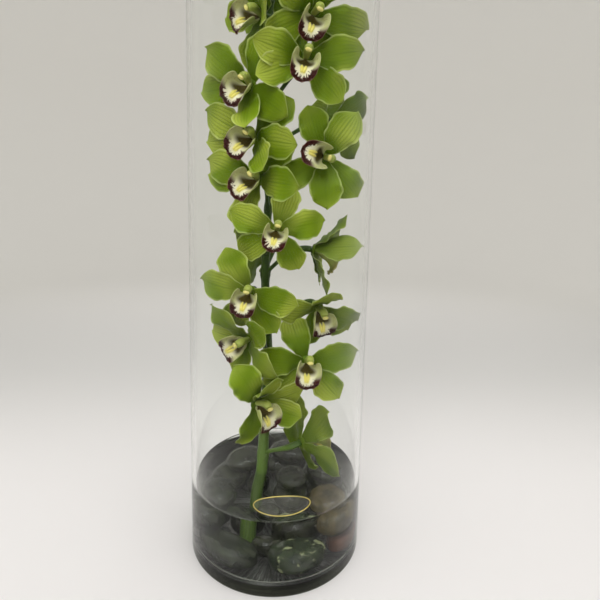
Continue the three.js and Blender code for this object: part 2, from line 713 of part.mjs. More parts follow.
// Label: a thin oval that follows the outside of the glass
function labelSolid() {
  const inner = VASE_RADIUS + GAP;
  const turnWidth = LABEL_WIDTH / 2 / VASE_RADIUS;
  const middle = -Math.PI / 2 + LABEL_CENTRE_X / VASE_RADIUS;
  const vertices = [];
  for (const radius of [inner, inner + LABEL_THICKNESS]) {
    vertices.push(new THREE.Vector3(radius * Math.cos(middle), radius * Math.sin(middle), LABEL_CENTRE_Z));
    for (const ring of LABEL_RINGS) {
      for (let k = 0; k < LABEL_POINTS; k += 1) {
        const turn = (2 * Math.PI * k) / LABEL_POINTS;
        const angle = middle + turnWidth * ring * Math.cos(turn);
        const height = LABEL_CENTRE_Z + (LABEL_HEIGHT / 2) * ring * Math.sin(turn);
        vertices.push(new THREE.Vector3(radius * Math.cos(angle), radius * Math.sin(angle), height));
      }
    }
  }
  const face = 1 + LABEL_RINGS.length * LABEL_POINTS;
  const triangles = [];
  for (let k = 0; k < LABEL_POINTS; k += 1) {
    const next = (k + 1) % LABEL_POINTS;
    const [a, b] = [1 + k, 1 + next];
    const [c, d] = [a + LABEL_POINTS, b + LABEL_POINTS];
    triangles.push([face, face + a, face + b]);
    triangles.push([face + a, face + c, face + d], [face + a, face + d, face + b]);
    triangles.push([0, b, a], [a, d, c], [a, b, d]);
    triangles.push([c, d, face + d], [c, face + d, face + c]);
  }
  return triangleSolid(vertices, triangles);
}

openSpike(BLOOMS);
settlePebbles();

addPiece('vase', vaseSolid(), GLASS);
addPiece('water', waterSolid(), WATER);
addPiece('label', labelSolid(), LABEL);
addPiece('spike', spikeSolid(BLOOMS), STEM);

BLOOMS.forEach((bloom, i) => {
  const number = String(i + 1).padStart(2, '0');
  const place = new THREE.Group();
  place.applyMatrix4(bloom.frame);
  addPiece(`tepals_${number}`, tepalSolid(bloom), TEPAL, place);
  addPiece(`lip_${number}`, lipSolid(bloom.size), LIP, place);
  group.add(place);
});

PEBBLES.forEach((pebble, i) => {
  addPiece(`pebble_${String(i + 1).padStart(2, '0')}`, pebbleSolid(pebble, 0), PEBBLE);
});

export default group;
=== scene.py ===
# %% [markdown]
# # An orchid stem in a glass vase
#
# A spike of small green boat orchids stands in a tall clear cylinder. Its cut foot is in shallow water,
# among dark river pebbles. This lesson dresses a packed model of it: each plain solid is replaced by a
# finer mesh of the same form, and each surface gets a finish made of nodes.
#
# The packed model is loaded first, because every piece is placed by it.

# %% Load the packed model
import math

import bmesh
import bpy
import numpy as np
from mathutils import Matrix, Vector


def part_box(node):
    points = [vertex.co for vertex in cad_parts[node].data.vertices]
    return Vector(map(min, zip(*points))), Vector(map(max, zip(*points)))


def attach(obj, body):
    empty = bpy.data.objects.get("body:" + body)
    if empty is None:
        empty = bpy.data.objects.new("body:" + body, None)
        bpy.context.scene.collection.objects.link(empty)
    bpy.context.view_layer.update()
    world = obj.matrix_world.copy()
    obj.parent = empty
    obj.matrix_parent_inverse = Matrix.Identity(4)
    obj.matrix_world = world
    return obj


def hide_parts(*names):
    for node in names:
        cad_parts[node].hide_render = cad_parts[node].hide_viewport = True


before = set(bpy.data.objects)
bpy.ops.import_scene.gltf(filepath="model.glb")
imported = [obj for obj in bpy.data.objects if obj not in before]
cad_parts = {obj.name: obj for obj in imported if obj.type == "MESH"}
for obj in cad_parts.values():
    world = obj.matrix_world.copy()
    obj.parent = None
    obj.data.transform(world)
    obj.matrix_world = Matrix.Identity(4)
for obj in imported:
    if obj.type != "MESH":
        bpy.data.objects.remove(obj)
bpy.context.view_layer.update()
print("nodes in the frame:", len(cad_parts))

# %% [markdown]
# Shapes are worked out in millimetres, the unit of the model's own drawing, and turned into metres only
# where a mesh is made. The vase and the water give the main sizes, so they are read from the frame.

# %% Main sizes
MM = 0.001
VASE_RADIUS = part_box("vase")[1].x / MM
VASE_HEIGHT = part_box("vase")[1].z / MM
WATER_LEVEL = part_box("water")[1].z / MM
WALL = 3.75
INNER_RADIUS = VASE_RADIUS - WALL
BASE_THICKNESS = 11
GAP = 0.3
print(f"vase {2 * VASE_RADIUS:.0f} x {VASE_HEIGHT:.0f} mm")
print(f"water {WATER_LEVEL - BASE_THICKNESS:.0f} mm deep")

# %% [markdown]
# ## The camera
#
# The photograph was taken from close by, a little above the blooms, with the camera tipped down and
# slightly rolled. A camera in Blender looks along its own -Z with +Y up, so its rotation is built from
# three directions: right, up and back. The shift slides the picture without turning the camera, as the
# crop of a photograph does.

# %% The camera
PHOTO_SIDE = 600
FOCAL_LENGTH = 500
PRINCIPAL_ROW = 250
CAMERA_AT = Vector((0, -418, 327.2)) * MM
PITCH_DOWN = math.radians(8.75)
YAW = math.radians(2.36)
ROLL = math.radians(1.26)
SENSOR = 36
NEAREST = 0.02


def put(name, data):
    """Makes an object of some data and puts it in the scene."""
    made = bpy.data.objects.new(name, data)
    bpy.context.scene.collection.objects.link(made)
    return made


def photo_camera():
    """Makes the camera that sees the object as the photograph does."""
    flat = math.cos(PITCH_DOWN)
    ahead = Vector((math.sin(YAW) * flat, math.cos(YAW) * flat, -math.sin(PITCH_DOWN)))
    level = Vector((math.cos(YAW), -math.sin(YAW), 0))
    upright = level.cross(ahead)
    right = level * math.cos(ROLL) + upright * math.sin(ROLL)
    up = upright * math.cos(ROLL) - level * math.sin(ROLL)
    lens = bpy.data.cameras.new("photo_camera")
    lens.sensor_width = SENSOR
    lens.lens = FOCAL_LENGTH / PHOTO_SIDE * SENSOR
    lens.shift_y = (PRINCIPAL_ROW - PHOTO_SIDE / 2) / PHOTO_SIDE
    lens.clip_start = NEAREST
    camera = put("photo_camera", lens)
    aimed = Matrix((right, up, -ahead)).transposed().to_4x4()
    camera.matrix_world = Matrix.Translation(CAMERA_AT) @ aimed
    return camera


camera = photo_camera()
bpy.context.scene.camera = camera
print(f"lens {camera.data.lens:.1f} mm, shift {camera.data.shift_y:.3f}")

# %% [markdown]
# ## Writing finishes as sums
#
# A finish in Blender is a tree of nodes. Long trees are hard to read, so a small class stands for one
# output socket and gives it the signs of arithmetic: each sign adds a Math node. Everything else about a
# node is set by one method, which takes the node's type, its settings, and the values or links of its
# sockets. A few short methods built on it name what this object needs often: coats of colour, noise,
# relief and a waxy skin.

# %% A socket that can be used in a sum
class Wire:
    """One output socket. A sum of wires and numbers adds the Math nodes for it."""

    def __init__(self, finish, socket):
        self.finish = finish
        self.socket = socket

    def math(self, operation, *values):
        return self.finish.node("ShaderNodeMath", {"operation": operation}, dict(enumerate(values)))

    def __add__(self, other):
        return self.math("ADD", self, other)

    def __radd__(self, other):
        return self.math("ADD", other, self)

    def __sub__(self, other):
        return self.math("SUBTRACT", self, other)

    def __rsub__(self, other):
        return self.math("SUBTRACT", other, self)

    def __mul__(self, other):
        return self.math("MULTIPLY", self, other)

    def __rmul__(self, other):
        return self.math("MULTIPLY", other, self)

    def __truediv__(self, other):
        return self.math("DIVIDE", self, other)

    def __rtruediv__(self, other):
        return self.math("DIVIDE", other, self)

    def __pow__(self, other):
        return self.math("POWER", self, other)

    def __abs__(self):
        return self.math("ABSOLUTE", self)

    def sine(self):
        return self.math("SINE", self)

    def most(self, other):
        return self.math("MAXIMUM", self, other)


print("signs that work from the right too:", [name for name in vars(Wire) if name.startswith("__r")])

# %% [markdown]
# A finish is the set of nodes of one material, and the sky is such a set as well. The class begins with
# an empty tree and ends by showing a shader. What varies over a surface is noise, a mark kept in the
# mesh, or height, because these stay the same from wherever the object is seen.

# %% A finish and its nodes
END_NODES = {"materials": "ShaderNodeOutputMaterial", "worlds": "ShaderNodeOutputWorld"}


class Finish:
    """A material, or the sky, and the one method that adds a node to it."""

    def __init__(self, name, kind="materials"):
        self.owner = getattr(bpy.data, kind).new(name)
        self.owner.use_nodes = True
        self.end = END_NODES[kind]
        self.tree = self.owner.node_tree
        self.tree.nodes.clear()

    def node(self, kind, settings=(), inputs=(), output=0):
        made = self.tree.nodes.new(kind)
        for name, value in dict(settings).items():
            setattr(made, name, value)
        for name, value in dict(inputs).items():
            self.feed(made.inputs[name], value)
        return Wire(self, made.outputs[output])

    def feed(self, socket, value):
        if isinstance(value, Wire):
            self.tree.links.new(value.socket, socket)
        elif isinstance(value, tuple) and len(value) == 3 and socket.type == "RGBA":
            socket.default_value = (*value, 1)
        else:
            socket.default_value = value

    def show(self, shader):
        end = self.tree.nodes.new(self.end)
        self.tree.links.new(shader.socket, end.inputs["Surface"])
        return self.owner

    def mix(self, amount, first, second):
        return self.node("ShaderNodeMix", {"data_type": "RGBA"}, {0: amount, 6: first, 7: second}, output=2)

    def coats(self, shade, *layers):
        """Lays coats of colour over a shade: each has a mask, a strength and its own colour."""
        for mask, strength, paint in layers:
            shade = self.mix(mask * strength, shade, paint)
        return shade

    def smooth(self, value, low, high):
        inputs = {"Value": value, "From Min": low, "From Max": high}
        return self.node("ShaderNodeMapRange", {"interpolation_type": "SMOOTHSTEP"}, inputs)

    def place(self, kind="Object"):
        return self.node("ShaderNodeTexCoord", output=kind)

    def part(self, vector, axis):
        return self.node("ShaderNodeSeparateXYZ", {}, {0: vector}, output=axis)

    def height(self):
        return self.part(self.place(), "Z")

    def grain(self, size, detail=2.0, rough=0.5):
        """Noise from 0 to 1 whose lumps are about size millimetres across."""
        return self.noise(self.place(), 1 / (size * MM), detail, rough)

    def noise(self, where, scale, detail, rough):
        inputs = {"Vector": where, "Scale": scale, "Detail": detail, "Roughness": rough}
        return self.node("ShaderNodeTexNoise", {}, inputs)

    def marks(self):
        """The three numbers that a mesh keeps at each of its corners."""
        stored = self.node("ShaderNodeAttribute", {"attribute_name": "marks"}, output="Vector")
        return [self.part(stored, axis) for axis in "XYZ"]

    def relief(self, height, depth, strength):
        """A Bump node: height 0 to 1 stands for depth millimetres."""
        inputs = {"Height": height, "Distance": depth * MM, "Strength": strength}
        return self.node("ShaderNodeBump", {}, inputs)

    def skin(self, shade, rough, shine, bump=None, more=()):
        """A Principled shader from its colour, roughness, shine and bump."""
        inputs = {"Base Color": shade, "Roughness": rough, "Specular IOR Level": shine, **dict(more)}
        if bump:
            inputs["Normal"] = bump
        return self.node("ShaderNodeBsdfPrincipled", {}, inputs)

    def leaf(self, shade, rough, shine, bump, through, glow):
        """A waxy skin that lets a share of the light through, as a petal does, in the plain colour glow."""
        lit = self.node("ShaderNodeBsdfTranslucent", {}, {"Color": glow, "Normal": bump})
        waxy = self.skin(shade, rough, shine, bump)
        return self.node("ShaderNodeMixShader", {}, {0: through, 1: waxy, 2: lit})


def colour(red, green, blue):
    """The linear colour of a screen colour whose channels run from 0 to 255."""
    shares = [channel / 255 for channel in (red, green, blue)]
    return tuple(s / 12.92 if s <= 0.04045 else ((s + 0.055) / 1.055) ** 2.4 for s in shares)


def colours(*screen):
    return [colour(*channels) for channels in screen]


print("a finish is built from", Finish.node.__qualname__)

# %% [markdown]
# ## The stage
#
# The object stands on a pale table that curves up into a pale backdrop, as paper does in a photographer's
# sweep. A vase and a sweep are both profiles turned round the upright axis, so one function makes both.
# Smooth shading averages the directions of the faces round a corner, which would bend a flat base near
# its edge, so a second function adds a point close to each end of a long run.

# %% Shapes turned round an axis
def strips(rings):
    """Faces between each ring of corner numbers and the next. A ring of one corner closes to a point."""
    faces = []
    for low, high in zip(rings, rings[1:]):
        for k in range(len(low)):
            j = (k + 1) % len(low)
            loop = [low[k], low[j], high[j], high[k]]
            faces.append([c for n, c in enumerate(loop) if c not in loop[:n]])
    return faces


def turned(profile, sides):
    """Corners and faces of a profile of (radius, height) points turned round the upright axis."""
    turns = [2 * math.pi * k / sides for k in range(sides)]
    corners, rings = [], []
    for radius, height in profile:
        first = len(corners)
        ring = turns if radius else [0]
        corners += [(radius * math.cos(turn), radius * math.sin(turn), height) for turn in ring]
        rings.append(list(range(first, first + sides)) if radius else [first] * sides)
    return np.array(corners, float), strips(rings)


HOLD = 0.15
LONG_RUN = 2


def held(profile):
    """The profile with a point close to each end of its long runs, which keeps smooth shading true."""
    kept = [profile[0]]
    for first, second in zip(profile, profile[1:]):
        run = math.dist(first, second)
        if run > LONG_RUN:
            for share in (HOLD / run, 1 - HOLD / run):
                kept.append(tuple(a + (b - a) * share for a, b in zip(first, second)))
        kept.append(second)
    return kept


def arc(centre, radius, start, end, steps):
    """Points of an arc about centre, from one angle to another in degrees."""
    angles = np.radians(np.linspace(start, end, steps + 1))
    return [(centre[0] + radius * math.cos(a), centre[1] + radius * math.sin(a)) for a in angles]


print("faces of a cone of four sides:", len(turned([(1, 0), (0, 1)], 4)[1]))

# %% [markdown]
# The sweep is a bowl, so that it stands behind the object from every side. It isn't part of the object. A
# table darkens away from a lamp that hangs over it, and the photograph shows that behind the vase. That
# shade is painted into the paper: painted darker away from the middle, and darker still behind the vase,
# by a smooth step along one direction of the object's own place.

# %% The sweep
SWEEP_FLAT = 1150
SWEEP_CURVE = 700
SWEEP_HEIGHT = 2300
SWEEP_SIDES = 96
SWEEP_STEPS = 14
# painted shade: the paper's darker colours, far from the lamp and behind the vase
PAPER_NEAR, PAPER_FAR_SHADE, PAPER_BACK_SHADE = colours((239, 236, 235), (226, 224, 219), (207, 206, 203))


def pale_paper():
    paper = Finish("pale_paper")
    reach = paper.node("ShaderNodeVectorMath", {"operation": "LENGTH"}, {0: paper.place()}, output="Value")
    # painted shade: darker away from the middle as the lamp's light falls off, and darker still behind the
    # vase
    falloff_shade = paper.smooth(reach, 0.1, 1.3)
    back = paper.part(paper.place(), "Y")
    back_shade = paper.smooth(back, 0.04, 0.4) * (1 - paper.smooth(back, 0.42, 0.95))
    shade = paper.coats(paper.mix(falloff_shade, PAPER_NEAR, PAPER_FAR_SHADE), (back_shade, 0.75, PAPER_BACK_SHADE))
    return paper.show(paper.skin(shade, 0.75, 0.25))


def smooth_mesh(name, corners, faces):
    """A mesh from corners in millimetres, shaded smooth."""
    mesh = bpy.data.meshes.new(name)
    mesh.from_pydata([tuple(c) for c in corners * MM], [], faces)
    mesh.shade_smooth()
    return mesh


def sweep():
    profile = [(0, 0), (SWEEP_FLAT, 0)]
    profile += arc((SWEEP_FLAT, SWEEP_CURVE), SWEEP_CURVE, -90, 0, SWEEP_STEPS)[1:]
    profile.append((SWEEP_FLAT + SWEEP_CURVE, SWEEP_HEIGHT))
    mesh = smooth_mesh("sweep", *turned(profile, SWEEP_SIDES))
    mesh.materials.append(pale_paper())
    return put("sweep", mesh)


floor = sweep()
print("sweep faces:", len(floor.data.polygons))

# %% [markdown]
# The photograph has the soft, even light of a room with wide ceiling lights. One wide lamp hangs over the
# object, and a smaller and weaker one stands for a window in front and to the left. Wide lamps give soft
# shadows and broad, quiet highlights on petals. The sky around them is a plain grey that is lighter
# above.

# %% Lamps and sky
def lamp(name, at, towards, size, power):
    light = bpy.data.lights.new(name, "AREA")
    light.shape = "RECTANGLE"
    light.size, light.size_y = size
    light.energy = power
    made = put(name, light)
    made.location = at
    made.rotation_euler = (Vector(towards) - Vector(at)).to_track_quat("-Z", "Y").to_euler()
    return made


lamps = [
    lamp("ceiling_light", (0.1, -0.3, 1.9), (0, 0, 0.2), (1.4, 1.2), 20.5),
    lamp("window_light", (-0.5, -1.5, 1.5), (0, 0, 0.3), (0.9, 0.7), 8.5),
]
SKY_BELOW = (0.55, 0.55, 0.53)
SKY_ABOVE = (0.95, 0.95, 0.94)
SKY_STRENGTH = 0.36


def sky():
    room = Finish("room", "worlds")
    shade = room.mix(room.part(room.place("Generated"), "Z"), SKY_BELOW, SKY_ABOVE)
    return room.show(room.node("ShaderNodeBackground", {}, {"Color": shade, "Strength": SKY_STRENGTH}))


bpy.context.scene.world = sky()
bpy.context.scene.view_settings.view_transform = "Standard"
bpy.context.scene.cycles.caustics_reflective = False
bpy.context.scene.cycles.max_bounces = 16
bpy.context.scene.cycles.transmission_bounces = 16
bpy.context.scene.cycles.transparent_max_bounces = 24
print("lamps:", [made.name for made in lamps])

# %% [markdown]
# ## Gathering a piece
#
# A bloom's lip, its ridges and its column are different meshes with different finishes, but they are one
# piece. A small class gathers them: it keeps the corners, faces and finishes, and for each corner a mark,
# three numbers that say where on the petal or stem it lies. The finishes read the marks to draw veins and
# spots in the right place.

# %% A gatherer for meshes
class Piece:
    """Collects meshes in millimetres and makes them one object that rides on the frame."""

    def __init__(self, finishes):
        self.finishes = finishes
        self.corners = []
        self.marks = []
        self.faces = []
        self.finish_of = []
        self.count = 0

    def add(self, corners, faces, finish=0, marks=None):
        corners = np.asarray(corners, float).reshape(-1, 3)
        self.faces += [[self.count + c for c in face] for face in faces]
        self.finish_of += [finish] * len(faces)
        self.corners.append(corners)
        marks = np.zeros_like(corners) if marks is None else np.asarray(marks, float).reshape(-1, 3)
        self.marks.append(marks)
        self.count += len(corners)

    def make(self, name, slot, *nodes):
        mesh = smooth_mesh(name, np.concatenate(self.corners), self.faces)
        stored = mesh.attributes.new("marks", "FLOAT_VECTOR", "POINT")
        stored.data.foreach_set("vector", np.concatenate(self.marks).astype(np.float32).ravel())
        mesh.polygons.foreach_set("material_index", self.finish_of)
        for finish in self.finishes:
            mesh.materials.append(finish)
        made = put(name, mesh)
        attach(made, "root")
        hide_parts(*nodes)
        return made


# %% [markdown]
# ## The glass
#
# The vase is blown or drawn into a straight cylinder, with a thick flat base and a rounded rim. A profile
# turned round the axis gives exactly that. The facets of the plain solid would show in its reflections,
# so it has many sides, and its edges are arcs.

# %% The vase's shape
VASE_SIDES = 360
RIM_STEPS = 8
FOOT_RADIUS = 2.2
INNER_FILLET = 3
FILLET_STEPS = 6


def vase_profile():
    profile = [(0, 0)]
    profile += arc((VASE_RADIUS - FOOT_RADIUS, FOOT_RADIUS), FOOT_RADIUS, -90, 0, FILLET_STEPS)
    profile += arc((VASE_RADIUS - WALL / 2, VASE_HEIGHT - WALL / 2), WALL / 2, 0, 180, RIM_STEPS)
    inner_corner = (INNER_RADIUS - INNER_FILLET, BASE_THICKNESS + INNER_FILLET)
    profile += arc(inner_corner, INNER_FILLET, 0, -90, FILLET_STEPS)
    profile.append((0, BASE_THICKNESS))
    return profile


print("points of the vase's profile:", len(vase_profile()))

# %% [markdown]
# Clear glass in Cycles blocks the lamps' light, because a lamp is found by a straight line that glass
# would bend. The usual answer is used here: for the rays that look for lamps the glass is a plain
# transparent film, and for all others it bends and reflects light as glass does.
#
# Seen from the side, light runs a long way through the thick base, from wall to wall, and comes out dark.
# The table under the stones lies in shade as well. The walls are thin and stay clear. So the base colour of
# the glass is dark at the foot, partly for the thick glass and partly as painted shade under the stones,
# and white above it.

# %% Clear finishes
GLASS_BEND = 1.5
WATER_BEND = 1.333
SHEEN_OF_GLASS = colour(70, 70, 70)
# the dark foot of the glass: partly the thick glass and partly painted shade under the stones
FOOT_TINT_AND_SHADE = colour(50, 52, 38)
FOOT_FADE = (0.6, 0.8)


def clear_finish(name, bend, tint, film, foot=None):
    finish = Finish(name)
    # partly painted shade: the base colour is darker at the foot
    if foot:
        below, above = FOOT_FADE
        low = finish.smooth(finish.height(), (BASE_THICKNESS - below) * MM, (BASE_THICKNESS + above) * MM)
        tint = finish.mix(1 - low, tint, foot)
    glassy = finish.node("ShaderNodeBsdfPrincipled", {}, {
        "Base Color": tint, "Roughness": 0.0, "IOR": bend, "Transmission Weight": 1.0,
        "Specular Tint": SHEEN_OF_GLASS})
    passing = finish.node("ShaderNodeBsdfTransparent", {}, {"Color": film})
    to_lamps = finish.node("ShaderNodeLightPath", output="Is Shadow Ray")
    return finish.show(finish.node("ShaderNodeMixShader", {}, {0: to_lamps, 1: glassy, 2: passing}))


clear_glass = clear_finish("clear_glass", GLASS_BEND, *colours((254, 255, 254), (250, 251, 250)), FOOT_TINT_AND_SHADE)
clear_water = clear_finish("clear_water", WATER_BEND, *colours((252, 253, 251), (244, 246, 243)))

vase = Piece([clear_glass])
vase.add(*turned(held(vase_profile()), VASE_SIDES))
vase = vase.make("glass_vase", "clear_glass", "vase")
print("vase faces:", len(vase.data.polygons))

# %% [markdown]
# ## The water
#
# Where water touches glass there is no air between them. If the two meshes only met, rays would find a
# thin gap and mirror there, so the water's mesh reaches a little way into the glass. Its surface climbs
# the glass in a small curved edge, which catches the light as a bright line.

# %% The water's shape
WATER_INTO_GLASS = 0.4
CLIMB = 1.6
CLIMB_REACH = 1.7
CLIMB_SPAN = 9
CLIMB_RINGS = 15


def water_profile():
    outer = INNER_RADIUS + WATER_INTO_GLASS
    low = BASE_THICKNESS - WATER_INTO_GLASS
    radii = [0, 30, 55, *np.linspace(INNER_RADIUS - CLIMB_SPAN, INNER_RADIUS, CLIMB_RINGS)]
    profile = [(0, low)]
    profile += arc((outer - INNER_FILLET, low + INNER_FILLET), INNER_FILLET, -90, 0, FILLET_STEPS)
    for radius in reversed(radii):
        height = WATER_LEVEL + CLIMB * math.exp((radius - INNER_RADIUS) / CLIMB_REACH)
        profile.append((outer if radius == INNER_RADIUS else radius, height))
    return profile


water = Piece([clear_water])
water.add(*turned(held(water_profile()), VASE_SIDES))
water = water.make("vase_water", "water", "water")
print("water faces:", len(water.data.polygons))

# %% [markdown]
# ## River pebbles
#
# A river pebble is a lump worn smooth: an ellipsoid with flattened faces and a few slow, shallow bumps.
# The plain solids were made by a formula with seeded numbers, and the same formula on a much finer sphere
# gives the same stones, smooth. Their heights come from the frame, because each stone was let down until
# it rested.

# %% The pebbles' shapes
PEBBLE_ROUGHNESS = 0.05
PEBBLE_FLATNESS = 3
PEBBLES = [
    # angle and distance from the middle, half sizes along the ring, across it and up
    (-132, 52, (28.5, 18.5, 10.2)),
    (-71, 50.5, (22.5, 20, 10.8)),
    (-25, 55, (17, 15.5, 8.4)),
    (24, 51, (22, 18, 12.4)),
    (84, 47, (26, 20, 12.4)),
    (154, 49, (26, 18, 12)),
    (-10, 14, (19, 17, 12.5)),
    (-101, 27, (11, 10, 8)),
    (146, 20, (12, 10, 11)),
    (-27, 50.5, (19.5, 17.5, 11.5)),
    (18, 48, (20, 18, 10)),
    (73, 47, (21, 18, 10.4)),
    (130, 46, (22, 18, 10)),
    (-164, 51, (20, 16, 10)),
    (10, 14, (17, 15, 10)),
]
PEBBLE_DIVISIONS = 5


def seeded(seed, count):
    """Numbers from 0 to 1, the same each run."""
    numbers = []
    for _ in range(count):
        seed = seed * 16807 % 2147483647
        numbers.append(seed / 2147483647)
    return np.array(numbers)


def fine_ball(divisions):
    ball = bmesh.new()
    bmesh.ops.create_icosphere(ball, subdivisions=divisions, radius=1)
    corners = np.array([v.co.normalized()[:] for v in ball.verts])
    faces = [[v.index for v in face.verts] for face in ball.faces]
    ball.free()
    return corners, faces


BALL, BALL_FACES = fine_ball(PEBBLE_DIVISIONS)


def pebble_corners(number, angle, out, half):
    shift = seeded(number * 97 + 11, 3) * 6
    bumps = np.sin(BALL * (2.3, 2.7, 2.1) + shift).sum(axis=1, keepdims=True)
    level = np.hypot(BALL[:, :1], BALL[:, 1:2]) ** PEBBLE_FLATNESS
    flat = (level + np.abs(BALL[:, 2:]) ** PEBBLE_FLATNESS) ** (-1 / PEBBLE_FLATNESS)
    pull = flat * (1 - PEBBLE_ROUGHNESS * (1 + bumps / 3))
    corners = BALL * pull * half
    turn, around = math.radians(angle), math.radians(angle + 90)
    spin = np.array([[math.cos(around), -math.sin(around)], [math.sin(around), math.cos(around)]])
    corners[:, :2] = corners[:, :2] @ spin.T + np.array((math.cos(turn), math.sin(turn))) * out
    low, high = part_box(f"pebble_{number + 1:02d}")
    middle = (low.z + high.z) / 2 / MM
    corners[:, 2] += middle - (corners[:, 2].max() + corners[:, 2].min()) / 2
    return corners


print("corners of the fine sphere:", len(BALL))

# %% [markdown]
# Wet, polished stones are dark and glossy. Each has slow clouds of a second colour and a fine speckle,
# and the one at the front is veined with pale patches. One function makes them all from three colours and
# how much of the pale one shows. The relief is kept very shallow, because a worn stone has clear
# highlights.

# %% The pebbles' finishes
def stone_finish(name, dark, light, pale, patches):
    finish = Finish(f"{name}_stone")
    clouds = finish.smooth(finish.grain(9, 4, 0.6), 0.35, 0.7)
    speckle = finish.smooth(finish.grain(0.7), 0.6, 0.72)
    veins = finish.smooth(finish.grain(11, 5, 0.62), 0.55, 0.62)
    ground = finish.mix(clouds, colour(*dark), colour(*light))
    shade = finish.coats(ground, (speckle, 0.3, colour(*pale)), (veins, patches, colour(*pale)))
    rough = 0.14 + finish.grain(3, 3) * 0.14
    return finish.show(finish.skin(shade, rough, 0.5, finish.relief(finish.grain(0.9, 3), 0.05, 0.5)))


STONE_COLOURS = {
    # dark, light and pale colour, and how much of the pale one shows
    "dark": ((26, 28, 18), (52, 55, 40), (100, 103, 80), 0.15),
    "mottled": ((28, 36, 24), (50, 59, 40), (158, 162, 124), 0.8),
    "grey": ((30, 34, 25), (50, 55, 40), (84, 88, 70), 0.1),
    "russet": ((66, 40, 30), (98, 62, 46), (128, 96, 76), 0.2),
    "olive": ((58, 52, 34), (92, 80, 52), (132, 122, 92), 0.2),
}
STONES = {name: stone_finish(name, *row) for name, row in STONE_COLOURS.items()}
LOOK_OF_PEBBLE = {0: "grey", 1: "mottled", 2: "russet", 9: "olive", 13: "grey"}


def pebbles():
    for number, (angle, out, half) in enumerate(PEBBLES):
        stone = Piece([STONES[LOOK_OF_PEBBLE.get(number, "dark")]])
        stone.add(pebble_corners(number, angle, out, half), BALL_FACES)
        stone.make(f"river_pebble_{number + 1:02d}", "dark_stone", f"pebble_{number + 1:02d}")


pebbles()
print("pebbles:", len(PEBBLES), "of", len(BALL_FACES), "faces each")

# %% [markdown]
# ## The spike
#
# The main stem sways a little from bloom to bloom. Its line is a Catmull-Rom curve through a few given
# points: a curve that passes through every point, with a smooth turn at each. The spacing follows the root
# of the distance between points, which keeps it from looping where points lie close together.

# %% The stem's line
SPIKE = [
    # x, y, z, radius
    (-18, -15, BASE_THICKNESS + GAP, 5.2),
    (-16.5, -8, 38, 5.2),
    (-13, 0, 64, 5),
    (-11, 4, 110, 4.6),
    (-9, 6, 168, 4.1),
    (-12, 6, 235, 3.6),
    (-10, 6, 300, 3.2),
    (-5, 6, 377, 2.8),
    (-12, 5, 424, 2.5),
    (-9, 4, 470, 2.2),
    (-5, 3, 512, 1.8),
]
SPIKE_POINTS = np.array([row[:3] for row in SPIKE], float)
SPIKE_ENDS = np.vstack([
    2 * SPIKE_POINTS[0] - SPIKE_POINTS[1],
    SPIKE_POINTS,
    2 * SPIKE_POINTS[-1] - SPIKE_POINTS[-2],
])


def spike_point(share):
    """The stem's point at a share of its run, counted in points."""
    at = share * (len(SPIKE_POINTS) - 1)
    span = min(int(at), len(SPIKE_POINTS) - 2)
    t = at - span
    p0, p1, p2, p3 = SPIKE_ENDS[span:span + 4]
    d0, d1, d2 = (np.linalg.norm(b - a) ** 0.5 for a, b in ((p0, p1), (p1, p2), (p2, p3)))
    start = ((p1 - p0) / d0 - (p2 - p0) / (d0 + d1) + (p2 - p1) / d1) * d1
    end = ((p2 - p1) / d1 - (p3 - p1) / (d1 + d2) + (p3 - p2) / d2) * d1
    return (p1 + start * t + (3 * (p2 - p1) - 2 * start - end) * t ** 2
            + (2 * (p1 - p2) + start + end) * t ** 3)


def spike_at(height):
    """The stem's point at a height, found by halving."""
    low, high = 0.0, 1.0
    for _ in range(30):
        middle = (low + high) / 2
        if spike_point(middle)[2] < height:
            low = middle
        else:
            high = middle
    return spike_point((low + high) / 2)


def spike_radius(height):
    return float(np.interp(height, [row[2] for row in SPIKE], [row[3] for row in SPIKE]))


print("stem from", np.round(spike_at(SPIKE[0][2]), 1), "to", np.round(spike_at(SPIKE[-1][2]), 1))

# %% [markdown]
# ## Where the blooms sit
#
# Each bloom is placed by the middle of its lip, which shows clearly in the photograph, by the way it
# faces, and by its turn. Five tepals (the three sepals and two petals, which look alike) spring from its
# centre. A tepal is described by its angle, size, lift and curl. Swing and fold say how far one stands
# off its usual place, as on a crowded spike.

